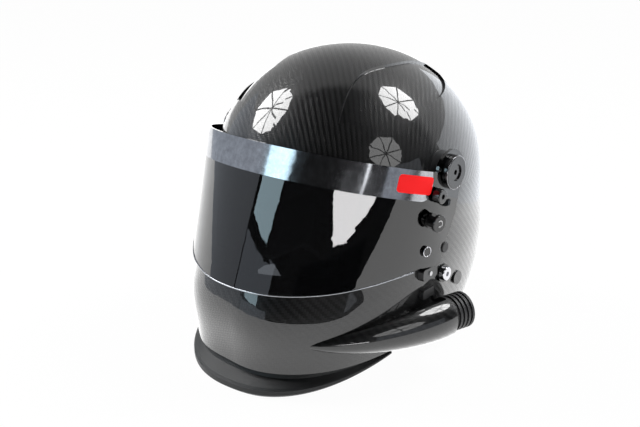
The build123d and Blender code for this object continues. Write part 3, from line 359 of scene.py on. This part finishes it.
# %% Group: knit
knit, entry, leave = new_group(
    "knitted_cloth",
    [("Pitch", "NodeSocketFloat", 0.0016), ("Depth", "NodeSocketFloat", 0.0003)],
    [("Shade", "NodeSocketFloat"), ("Normal", "NodeSocketVector")])
place = knit.nodes.new("ShaderNodeTexCoord")
split = knit.nodes.new("ShaderNodeSeparateXYZ")
knit.links.new(place.outputs["Object"], split.inputs[0])
waves = []
for axis in "XYZ":
    turns = reckon(knit, "DIVIDE", split.outputs[axis], entry.outputs["Pitch"])
    waves.append(reckon(knit, "SINE", reckon(knit, "MULTIPLY", turns, math.tau)))
loops = reckon(knit, "MULTIPLY", waves[0], waves[2])
for one, other in ((1, 2), (0, 1)):
    loops = reckon(knit, "ADD", loops, reckon(knit, "MULTIPLY", waves[one], waves[other]))
# This height is also put out as Shade, which paints the colour darker in the hollows: painted shade.
shade = reckon(knit, "MULTIPLY_ADD", loops, 0.25, 0.5, clamp=True)
bump = knit.nodes.new("ShaderNodeBump")
knit.links.new(shade, bump.inputs["Height"])
knit.links.new(entry.outputs["Depth"], bump.inputs["Distance"])
knit.links.new(shade, leave.inputs["Shade"])
knit.links.new(bump.outputs["Normal"], leave.inputs["Normal"])
print("groups:", [g.name for g in bpy.data.node_groups])

# %% [markdown]
# ## Finishes
# One helper makes a material with a Principled shader, and the plain numbers are set on the shader's own
# sockets. What changes over the surface comes from the groups: smudges vary the roughness, and grain bends
# the light a little. The names are the finishes that a helmet maker would list.
# %% Helpers for finishes


def new_finish(title, color, roughness, metallic=0.0):
    finish = bpy.data.materials.new(title)
    finish.use_nodes = True
    shader = finish.node_tree.nodes["Principled BSDF"]
    shader.inputs["Base Color"].default_value = (*color, 1)
    shader.inputs["Roughness"].default_value = roughness
    shader.inputs["Metallic"].default_value = metallic
    return finish, finish.node_tree, shader


def blend_colors(tree, factor, first, second):
    """A colour between two others, by a factor that changes over the surface."""
    mix = tree.nodes.new("ShaderNodeMix")
    mix.data_type = "RGBA"
    tree.links.new(factor, mix.inputs["Factor"])
    mix.inputs["A"].default_value = (*first, 1)
    mix.inputs["B"].default_value = (*second, 1)
    return mix.outputs["Result"]


def spread(tree, factor, low, high):
    """A factor from 0 to 1 made a number from low to high."""
    node = tree.nodes.new("ShaderNodeMapRange")
    tree.links.new(factor, node.inputs["Value"])
    node.inputs["To Min"].default_value = low
    node.inputs["To Max"].default_value = high
    return node.outputs["Result"]


def moulded(title, color, roughness, metallic=0.0, scale=900.0, depth=0.00002, vary=0.15, tone=0.25):
    """A moulded or machined finish: even colour, smudged gloss and fine grain."""
    finish, tree, shader = new_finish(title, color, roughness, metallic)
    fine = tree.nodes.new("ShaderNodeGroup")
    fine.node_tree = grain
    fine.inputs["Scale"].default_value = scale
    fine.inputs["Depth"].default_value = depth
    tree.links.new(spread(tree, fine.outputs["Smudge"], roughness * (1 - vary), roughness * (1 + vary)),
                   shader.inputs["Roughness"])
    tree.links.new(blend_colors(tree, fine.outputs["Smudge"], [c * (1 - tone) for c in color],
                                [c * (1 + tone) for c in color]), shader.inputs["Base Color"])
    tree.links.new(fine.outputs["Normal"], shader.inputs["Normal"])
    return finish


# %% [markdown]
# ## Carbon under lacquer
# The shell is twill cloth in resin under a thick gloss lacquer. The lacquer is the shader's coat, which keeps
# the smooth normal of the surface, while the base under it gets the bump of the tows. The cloth is laid over
# the crown from the top, so there its place is measured out from the pole, and round the sides it is laid
# as a band, so there its place is the way round and the height. The crown's cloth laps over the band just
# above the height of the pole.
# The tows that lie one way are painted lighter than the others, as painted sheen for how the fibres reflect.
# %% Carbon finish
CROWN_RADIUS = 0.125
POLE = (0.0, 0.0, 0.160)
CLOTH_LAP = 0.012


def cloth_places(tree):
    """Sockets with the place on the crown's cloth and on the side's cloth, and the height."""
    place = tree.nodes.new("ShaderNodeTexCoord")
    moved = tree.nodes.new("ShaderNodeVectorMath")
    moved.operation = "SUBTRACT"
    moved.inputs[1].default_value = POLE
    tree.links.new(place.outputs["Object"], moved.inputs[0])
    split = tree.nodes.new("ShaderNodeSeparateXYZ")
    tree.links.new(moved.outputs["Vector"], split.inputs[0])
    x, y, z = (split.outputs[axis] for axis in "XYZ")
    flat = reckon(tree, "ADD", reckon(tree, "MULTIPLY", x, x), reckon(tree, "MULTIPLY", y, y))
    flat = reckon(tree, "SQRT", flat)
    fall = reckon(tree, "ARCTAN2", flat, z)
    stretch = reckon(tree, "DIVIDE", reckon(tree, "MULTIPLY", fall, CROWN_RADIUS),
                     reckon(tree, "MAXIMUM", flat, 0.001))
    crown = tree.nodes.new("ShaderNodeCombineXYZ")
    tree.links.new(reckon(tree, "MULTIPLY", x, stretch), crown.inputs["X"])
    tree.links.new(reckon(tree, "MULTIPLY", y, stretch), crown.inputs["Y"])
    round_about = reckon(tree, "ARCTAN2", x, reckon(tree, "MULTIPLY", y, -1.0))
    way = reckon(tree, "MULTIPLY", round_about, CROWN_RADIUS)
    band = tree.nodes.new("ShaderNodeCombineXYZ")
    tree.links.new(way, band.inputs["X"])
    tree.links.new(z, band.inputs["Y"])
    return crown.outputs[0], band.outputs[0], z


def carbon(title, tow, dark, light, deep=0.00012):
    finish, tree, shader = new_finish(title, dark, 0.34)
    shader.inputs["Specular IOR Level"].default_value = 0.15
    crown, band, height = cloth_places(tree)
    layers = []
    for cloth_place in (crown, band):
        layer = tree.nodes.new("ShaderNodeGroup")
        layer.node_tree = twill
        layer.inputs["Tow"].default_value = tow
        tree.links.new(cloth_place, layer.inputs["Place"])
        layers.append(layer)
    lap = reckon(tree, "GREATER_THAN", height, CLOTH_LAP)
    joined = {}
    for name in ("Over", "Height", "Streak"):
        mix = tree.nodes.new("ShaderNodeMix")
        tree.links.new(lap, mix.inputs["Factor"])
        tree.links.new(layers[1].outputs[name], mix.inputs["A"])
        tree.links.new(layers[0].outputs[name], mix.inputs["B"])
        joined[name] = mix.outputs["Result"]
    # Painted sheen: the tows that lie one way get the lighter colour, and the fibre streaks add tone.
    tone = reckon(tree, "MULTIPLY_ADD", joined["Streak"], 0.35,
                  reckon(tree, "MULTIPLY", joined["Over"], 0.75), clamp=True)
    tree.links.new(blend_colors(tree, tone, dark, light), shader.inputs["Base Color"])
    tree.links.new(spread(tree, joined["Over"], 0.28, 0.42), shader.inputs["Roughness"])
    bump = tree.nodes.new("ShaderNodeBump")
    bump.inputs["Distance"].default_value = deep
    tree.links.new(joined["Height"], bump.inputs["Height"])
    tree.links.new(bump.outputs["Normal"], shader.inputs["Normal"])
    shader.inputs["Coat Weight"].default_value = 1.0
    shader.inputs["Coat Roughness"].default_value = 0.025
    shader.inputs["Coat IOR"].default_value = 1.5
    return finish


# The second colour of each is the painted sheen of the tows that lie one way.
shell_carbon = carbon("carbon_under_lacquer", 0.0019, (0.0030, 0.0031, 0.0034), (0.0100, 0.0104, 0.0110))
duct_carbon = carbon("duct_under_lacquer", 0.0019, (0.0035, 0.0036, 0.0039), (0.0080, 0.0083, 0.0088),
                     deep=0.00002)

# %% Rubber, plastic and metal
black_rubber = moulded("black_rubber_trim", (0.018, 0.018, 0.019), 0.55, scale=1400, depth=0.00003)
skirt_rubber = moulded("soft_skirt_rubber", (0.022, 0.023, 0.024), 0.50, scale=1200, depth=0.00004, vary=0.2)
skirt_rubber.node_tree.nodes["Principled BSDF"].inputs["Specular IOR Level"].default_value = 0.25
gloss_black = moulded("gloss_black_plastic", (0.012, 0.012, 0.013), 0.12, scale=500, depth=0.000004)
satin_black = moulded("satin_black_plastic", (0.020, 0.020, 0.021), 0.36, scale=1500, depth=0.00002)
bead_foam = moulded("black_bead_foam", (0.035, 0.035, 0.036), 0.85, scale=420, depth=0.0004, tone=0.35)
screw_steel = moulded("zinc_steel", (0.36, 0.36, 0.37), 0.30, metallic=1.0, scale=1600, depth=0.00001)
polished_steel = moulded("polished_steel", (0.46, 0.46, 0.48), 0.12, metallic=1.0, depth=0.000003)
dark_chrome = moulded("dark_chrome_edge", (0.22, 0.22, 0.23), 0.14, metallic=1.0, depth=0.000003)
edge_polish = moulded("polished_shield_edge", (0.30, 0.31, 0.33), 0.18, metallic=1.0, depth=0.000003)
white_paint = moulded("white_index_paint", (0.80, 0.80, 0.80), 0.35, scale=600, depth=0.000005, tone=0.05)
red_film_painted_glow = moulded("red_sticker_film_painted_glow", (1.0, 0.016, 0.020), 0.45, scale=300, depth=0.00001, tone=0.0)
shader = red_film_painted_glow.node_tree.nodes["Principled BSDF"]
shader.inputs["Specular IOR Level"].default_value = 0.1
# The emission is painted glow: it makes the sticker brighter than the lamps light it.
shader.inputs["Emission Color"].default_value = (1.0, 0.020, 0.020, 1)
shader.inputs["Emission Strength"].default_value = 0.4

# %% [markdown]
# ## Visor and mirrored strip
# The shield is smoke-tinted polycarbonate: a clear body with a grey tint and a hard coat that reflects like
# glass. The strip along its top is a film with a slightly mottled mirror finish. It doesn't lie quite parallel
# to the shield, so its normal is lifted a little, and it mirrors a higher part of the room.
# %% Visor finish
visor_smoke, tree, shader = new_finish("smoke_shield", (0.036, 0.039, 0.043), 0.012)
shader.inputs["Transmission Weight"].default_value = 1.0
shader.inputs["IOR"].default_value = 1.585
fine = tree.nodes.new("ShaderNodeGroup")
fine.node_tree = grain
fine.inputs["Smudge scale"].default_value = 12
tree.links.new(spread(tree, fine.outputs["Smudge"], 0.004, 0.022), shader.inputs["Roughness"])

mirror_film, tree, shader = new_finish("mirrored_film", (0.20, 0.21, 0.23), 0.2, metallic=1.0)
place = tree.nodes.new("ShaderNodeTexCoord")
mottle = tree.nodes.new("ShaderNodeTexNoise")
mottle.inputs["Scale"].default_value = 160
mottle.inputs["Detail"].default_value = 8
mottle.inputs["Roughness"].default_value = 0.7
tree.links.new(place.outputs["Object"], mottle.inputs["Vector"])
tree.links.new(blend_colors(tree, spread(tree, mottle.outputs["Fac"], -0.6, 1.6), (0.20, 0.205, 0.22),
                            (0.36, 0.37, 0.39)), shader.inputs["Base Color"])
tree.links.new(spread(tree, mottle.outputs["Fac"], 0.05, 0.18), shader.inputs["Roughness"])
facing = tree.nodes.new("ShaderNodeNewGeometry")
lifted = tree.nodes.new("ShaderNodeVectorMath")
lifted.inputs[1].default_value = (0.0, 0.0, 0.075)
tree.links.new(facing.outputs["Normal"], lifted.inputs[0])
tree.links.new(lifted.outputs["Vector"], shader.inputs["Normal"])

# %% Finish of each solid
FINISHES = {
    shell_carbon: ["outer_shell", "strap_rivets"],
    duct_carbon: ["side_air_duct"],
    black_rubber: ["base_trim", "eyeport_gasket", "duct_nozzle", "visor_stop_left", "visor_stop_right"],
    skirt_rubber: ["chin_skirt"],
    bead_foam: ["impact_liner", "chin_bar_liner"],
    gloss_black: ["pivot_screw_left", "pivot_screw_right", "guide_screw_left", "guide_screw_right",
                  "tear_off_post_left", "tear_off_post_right", "visor_studs", "restraint_washers"],
    satin_black: ["pivot_plate_left", "pivot_plate_right", "visor_rest_left", "visor_rest_right",
                  "duct_outlet_cover"],
    screw_steel: ["rest_screws", "pivot_nuts", "post_nut_left", "post_nut_right",
                  "restraint_inserts"],
    polished_steel: ["restraint_screws", "d_ring_outer", "d_ring_inner"],
    visor_smoke: ["visor_shield"],
    mirror_film: ["visor_strip"],
    red_film_painted_glow: ["size_label"],
}
for finish, names in FINISHES.items():
    for name in names:
        if name in nodes:
            nodes[name].data.materials.clear()
            nodes[name].data.materials.append(finish)
print("dressed:", sum(len(names) for names in FINISHES.values()), "solids")

# %% [markdown]
# ## Small bright details
# Each tear-off post carries a painted arc on its end, which shows how far it is turned, so the arc rides on the
# post and turns with it. The studs near the visor's lower corners are clamped by a bright eyelet, and the
# pivot screws have a polished edge. All of them are rings made from a torus, seated on the CAD solid by
# measuring it: the outermost points along the axis give the height, and their spread gives the radius.
# %% Rings on screws, studs and posts
NEAR_RIM = 0.0004
POST_REACH, POST_TURN = 0.98241, -0.186738


def ring_on(title, name, axis, shown_at, wire, finish, body, radius=None, gap=0.0):
    """A ring on the end of a CAD solid, shown_at past it along the axis; gap is left open, in degrees."""
    axis = Vector(axis).normalized()
    points = [p.co for p in nodes[name].data.vertices if p.co.dot(axis) > 0]
    top = max(p.dot(axis) for p in points)
    rim = [p for p in points if p.dot(axis) > top - NEAR_RIM]
    middle = sum((Vector(p) for p in rim), Vector()) / len(rim)
    far = max((p - middle).length for p in rim)
    bpy.ops.object.select_all(action="DESELECT")
    bpy.ops.mesh.primitive_torus_add(major_radius=radius or far, minor_radius=wire, major_segments=48,
                                     minor_segments=10)
    ring = bpy.context.object
    ring.name = title
    if gap:
        bpy.ops.object.mode_set(mode="EDIT")
        bpy.ops.mesh.select_all(action="DESELECT")
        bpy.ops.object.mode_set(mode="OBJECT")
        for point in ring.data.vertices:
            turn = math.degrees(math.atan2(point.co.y, point.co.x))
            point.select = abs(turn) > 180 - gap / 2
        bpy.ops.object.mode_set(mode="EDIT")
        bpy.ops.mesh.delete(type="VERT")
        bpy.ops.mesh.select_all(action="SELECT")
        bpy.ops.mesh.fill_holes(sides=12)
        bpy.ops.mesh.normals_make_consistent(inside=False)
        bpy.ops.object.mode_set(mode="OBJECT")
    ring.rotation_euler = axis.to_track_quat("Z", "Y").to_euler()
    ring.location = middle + axis * (top - middle.dot(axis) + shown_at)
    bpy.ops.object.transform_apply(location=True, rotation=True, scale=True)
    bpy.ops.object.shade_smooth_by_angle(angle=math.radians(50))
    ring.data.materials.append(finish)
    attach(ring, body)
    print(title, "on", name, "radius", round((radius or far) * 1000, 2))


for side, sign in (("left", 1), ("right", -1)):
    post_axis = (sign * POST_REACH, POST_TURN, 0)
    ring_on("index_arc_" + side, "tear_off_post_" + side, post_axis, 0.0, 0.00045, white_paint,
            "post_" + side, radius=0.0027, gap=95)
    ring_on("stud_eyelet_" + side, "visor_studs", post_axis, -0.0001, 0.00045, polished_steel, "visor")
    ring_on("pivot_edge_" + side, "pivot_screw_" + side, (sign, 0, 0), -0.0004, 0.0003, dark_chrome,
            "helmet")

# %% [markdown]
# ## The polished edge of the shield
# The lower edge of the shield is rounded and polished, and it catches the light of the table as one bright
# line. It is drawn as a thin bead: the lowest point of the shield is found at each bearing, the line through
# those points is evened out, and a round section follows it.
# %% Edge bead
EDGE_TURN = 66
EDGE_STEP = 3
BEAD = 0.0007
lowest = []
for turn in range(-EDGE_TURN, EDGE_TURN + 1, EDGE_STEP):
    near = [p.co for p in nodes["visor_shield"].data.vertices
            if abs(math.degrees(math.atan2(p.co.x, -p.co.y)) - turn) < EDGE_STEP]
    low = min(p.z for p in near)
    out = max(math.hypot(p.x, p.y) for p in near if p.z < low + 0.0015)
    lowest.append((turn, low, out))
line = []
for before, here, after in zip([lowest[0]] + lowest, lowest, lowest[1:] + [lowest[-1]]):
    low, out = ((before[k] + 2 * here[k] + after[k]) / 4 for k in (1, 2))
    turn = math.radians(here[0])
    line.append(Vector(((out - BEAD) * math.sin(turn), -(out - BEAD) * math.cos(turn), low + BEAD)))
bpy.ops.object.select_all(action="DESELECT")
bpy.ops.curve.primitive_nurbs_path_add()
bead = bpy.context.object
bead.name = "shield_edge_bead"
path = bead.data.splines[0]
path.points.add(len(line) - len(path.points))
for point, place in zip(path.points, line):
    point.co = (*place, 1)
path.use_endpoint_u = True
path.resolution_u = 3
bead.data.bevel_depth = BEAD
bead.data.bevel_resolution = 3
bead.data.use_fill_caps = True
bpy.ops.object.convert(target="MESH")
bead = bpy.context.object
bpy.ops.object.transform_apply(location=True, rotation=True, scale=True)
bpy.ops.object.shade_smooth_by_angle(angle=math.radians(50))
bead.data.materials.clear()
bead.data.materials.append(edge_polish)
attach(bead, "visor")
print("bead", len(bead.data.vertices), "points, z", [round(v.z, 4) for v in line[::11]])

# %% [markdown]
# ## Fabric of the comfort liner
# The liner is soft fabric over foam, stitched into pads. In the real helmet each pad is a flat cut of cloth
# drawn tight over a moulded foam, so it swells between its seams. Cloth simulation gives that shape: the CAD
# block is copied, remeshed evenly, blown up a little with pressure, and stopped by a cap so that it stays in
# its room. The seams come after it, because remeshing removes anything narrower than its voxels.
# %% Fabric finishes


def fabric(title, dark, light, pitch, deep, sheen):
    """Knitted or woven cloth: loops bend the light and their hollows get painted shade; the nap adds sheen."""
    finish, tree, shader = new_finish(title, dark, 0.88)
    loops = tree.nodes.new("ShaderNodeGroup")
    loops.node_tree = knit
    loops.inputs["Pitch"].default_value = pitch
    loops.inputs["Depth"].default_value = deep
    tree.links.new(blend_colors(tree, loops.outputs["Shade"], dark, light), shader.inputs["Base Color"])
    tree.links.new(loops.outputs["Normal"], shader.inputs["Normal"])
    shader.inputs["Sheen Weight"].default_value = sheen
    return finish


pad_cloth = fabric("brushed_pad_cloth", (0.010, 0.010, 0.011), (0.045, 0.046, 0.050), 0.0022, 0.00025, 0.25)
roll_cloth = fabric("smooth_roll_cloth", (0.012, 0.012, 0.013), (0.035, 0.035, 0.038), 0.0014, 0.00015, 0.10)

# %% Swelling a pad
VOXEL = 0.005
ROOM_LOST = 0.0012
AIR_PRESSURE = 4.0
BLOW_FRAMES = 20


def swell(title, name, cap, cloth, seams=()):
    """A fabric pad made from a CAD block: remeshed, blown up by cloth simulation, seamed and smoothed."""
    pad = bpy.data.objects.new(title, nodes[name].data.copy())
    pad.data.materials.clear()
    bpy.context.collection.objects.link(pad)
    bpy.ops.object.select_all(action="DESELECT")
    pad.select_set(True)
    bpy.context.view_layer.objects.active = pad
    bpy.ops.object.mode_set(mode="EDIT")
    bpy.ops.mesh.select_all(action="SELECT")
    bpy.ops.mesh.remove_doubles(threshold=0.00005)
    bpy.ops.mesh.normals_make_consistent(inside=False)
    bpy.ops.object.mode_set(mode="OBJECT")
    even = pad.modifiers.new("even", "REMESH")
    even.mode = "VOXEL"
    even.voxel_size = VOXEL
    bpy.ops.object.modifier_apply(modifier=even.name)
    for point in pad.data.vertices:
        point.co -= point.normal * ROOM_LOST
    start = [point.co.copy() for point in pad.data.vertices]
    blow = pad.modifiers.new("blow", "CLOTH")
    blow.settings.use_pressure = True
    blow.settings.uniform_pressure_force = AIR_PRESSURE
    blow.settings.effector_weights.gravity = 0.0
    blow.point_cache.frame_start, blow.point_cache.frame_end = 1, BLOW_FRAMES
    for count in range(1, BLOW_FRAMES + 1):
        bpy.context.scene.frame_set(count)
    blown = pad.evaluated_get(bpy.context.evaluated_depsgraph_get())
    ends = [point.co.copy() for point in blown.data.vertices]
    pad.modifiers.remove(blow)
    bpy.context.scene.frame_set(1)
    for point, first, last in zip(pad.data.vertices, start, ends):
        way = last - first
        point.co = first + way * min(1.0, cap / max(way.length, 1e-9))
    finer = pad.modifiers.new("finer", "SUBSURF")
    finer.levels = finer.render_levels = 1
    bpy.ops.object.modifier_apply(modifier=finer.name)
    for axis, at, width, deep in seams:
        for point in pad.data.vertices:
            away = (point.co[axis] - at) / width
            if abs(away) < 3:
                point.co -= point.normal * deep * math.exp(-away * away)
    bpy.ops.object.shade_smooth()
    pad.data.materials.append(cloth)
    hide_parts(name)
    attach(pad, "helmet")
    print(title, len(pad.data.vertices), "points", [round(v * 1000) for v in pad.dimensions])
    return pad


# %% The five pads
swell("crown_cushion", "crown_pad", 0.003, pad_cloth,
      [(0, -0.022, 0.0022, 0.0022), (0, 0.022, 0.0022, 0.0022)])
swell("brow_cushion", "brow_pad", 0.003, pad_cloth, [(0, 0.0, 0.002, 0.002)])
swell("neck_cushion", "neck_roll", 0.004, roll_cloth,
      [(0, -0.045, 0.0022, 0.0022), (0, 0.0, 0.0022, 0.0022), (0, 0.045, 0.0022, 0.0022)])
for side, sign in (("left", 1), ("right", -1)):
    swell("cheek_cushion_" + side, "cheek_pad_" + side, 0.005, pad_cloth, [(2, 0.128, 0.0022, 0.0022)])

# %% [markdown]
# ## The chin strap
# The strap is 25 mm webbing in two halves. Each is riveted inside the shell. The left one ends in a folded
# loop that holds the two D-rings, and the right one ends in a hem. Webbing is flat and even, so it is drawn
# directly: one edge is extruded along the route with its corners rounded, then Solidify gives it a thickness.
# %% Webbing finish
webbing, tree, shader = new_finish("strap_webbing", (0.010, 0.010, 0.011), 0.62)
placed = tree.nodes.new("ShaderNodeUVMap")
placed.uv_map = "webbing"
split = tree.nodes.new("ShaderNodeSeparateXYZ")
tree.links.new(placed.outputs["UV"], split.inputs[0])
warp = reckon(tree, "SINE", reckon(tree, "MULTIPLY", split.outputs["X"], math.tau / 0.0021))
weft = reckon(tree, "SINE", reckon(tree, "MULTIPLY", split.outputs["Y"], math.tau / 0.0013))
ribs = reckon(tree, "MULTIPLY_ADD", reckon(tree, "MULTIPLY", warp, weft), 0.5, 0.5)
bump = tree.nodes.new("ShaderNodeBump")
bump.inputs["Distance"].default_value = 0.0003
tree.links.new(ribs, bump.inputs["Height"])
tree.links.new(bump.outputs["Normal"], shader.inputs["Normal"])
# The colour follows the ribs' height, darker between the ribs: painted shade.
tree.links.new(blend_colors(tree, ribs, (0.006, 0.006, 0.007), (0.030, 0.030, 0.032)),
               shader.inputs["Base Color"])

# %% Drawing webbing
STRAP_WIDTH = 0.025
STRAP_MIDDLE = 0.020
STRAP_THICK = 0.0016


def rounded(route, radius, steps=5):
    """The route with an arc at each of its corners."""
    line = [Vector(route[0])]
    for before, corner, after in zip(route, route[1:], route[2:]):
        before, corner, after = Vector(before), Vector(corner), Vector(after)
        back, on = (before - corner).normalized(), (after - corner).normalized()
        half = back.angle(on) / 2
        reach = min(radius / math.tan(half), 0.45 * (before - corner).length, 0.45 * (after - corner).length)
        first, last = corner + back * reach, corner + on * reach
        for count in range(steps + 1):
            t = count / steps
            line.append(first * (1 - t) ** 2 + corner * 2 * t * (1 - t) + last * t ** 2)
    return line + [Vector(route[-1])]


def draw_webbing(title, route, name):
    """Webbing along a route of x and z, as wide as the strap, with a UV map in metres."""
    line = rounded([(x / 1000, z / 1000) for x, z in route], 0.009)
    bpy.ops.object.select_all(action="DESELECT")
    bpy.ops.mesh.primitive_plane_add(size=1)
    strap = bpy.context.object
    strap.name = title
    bpy.ops.object.mode_set(mode="EDIT")
    bpy.ops.mesh.select_all(action="DESELECT")
    bpy.ops.object.mode_set(mode="OBJECT")
    near, far = STRAP_MIDDLE - STRAP_WIDTH / 2, STRAP_MIDDLE + STRAP_WIDTH / 2
    for point, (x, y) in zip(strap.data.vertices, ((0, near), (1, near), (0, far), (1, far))):
        end = line[x]
        point.co = (end.x, y, end.y)
    strap.data.vertices[1].select = strap.data.vertices[3].select = True
    bpy.ops.object.mode_set(mode="EDIT")
    bpy.ops.mesh.select_mode(type="VERT")
    for first, last in zip(line[1:], line[2:]):
        bpy.ops.mesh.extrude_region_move(
            TRANSFORM_OT_translate={"value": (last.x - first.x, 0, last.y - first.y)})
    bpy.ops.object.mode_set(mode="OBJECT")
    runs = [0.0]
    for first, last in zip(line, line[1:]):
        runs.append(runs[-1] + (last - first).length)
    cloth_map = strap.data.uv_layers[0]
    cloth_map.name = "webbing"
    for loop in strap.data.loops:
        place = strap.data.vertices[loop.vertex_index].co
        spot = min(range(len(line)), key=lambda k: (Vector((place.x, place.z)) - line[k]).length)
        cloth_map.data[loop.index].uv = (place.y, runs[spot])
    thick = strap.modifiers.new("thick", "SOLIDIFY")
    thick.thickness = STRAP_THICK
    thick.offset = 0
    bpy.ops.object.modifier_apply(modifier=thick.name)
    soft = strap.modifiers.new("soft", "BEVEL")
    soft.width, soft.segments, soft.limit_method = 0.0004, 2, "ANGLE"
    bpy.ops.object.modifier_apply(modifier=soft.name)
    bpy.ops.object.select_all(action="DESELECT")
    strap.select_set(True)
    bpy.ops.object.shade_smooth_by_angle(angle=math.radians(40))
    strap.data.materials.append(webbing)
    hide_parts(name)
    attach(strap, "helmet")
    print(title, "length", round(runs[-1], 4), "points", len(strap.data.vertices))
    return strap


# %% The two straps
LEFT_ROUTE = [(109, 90), (109, 66), (99, 46), (84, 36), (66, 34.9), (53, 34.9), (53, 29.1), (66, 29.1),
              (78, 31.0)]
RIGHT_ROUTE = [(-109, 90), (-109, 66), (-99, 46), (-78, 22), (-44, 12), (-4, 12)]
draw_webbing("strap_left", LEFT_ROUTE, "chin_strap_left")
draw_webbing("strap_right", RIGHT_ROUTE, "chin_strap_right")

# %% Close the lesson
low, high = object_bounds()
print("visual box:", [round(v, 3) for v in (*low, *high)])
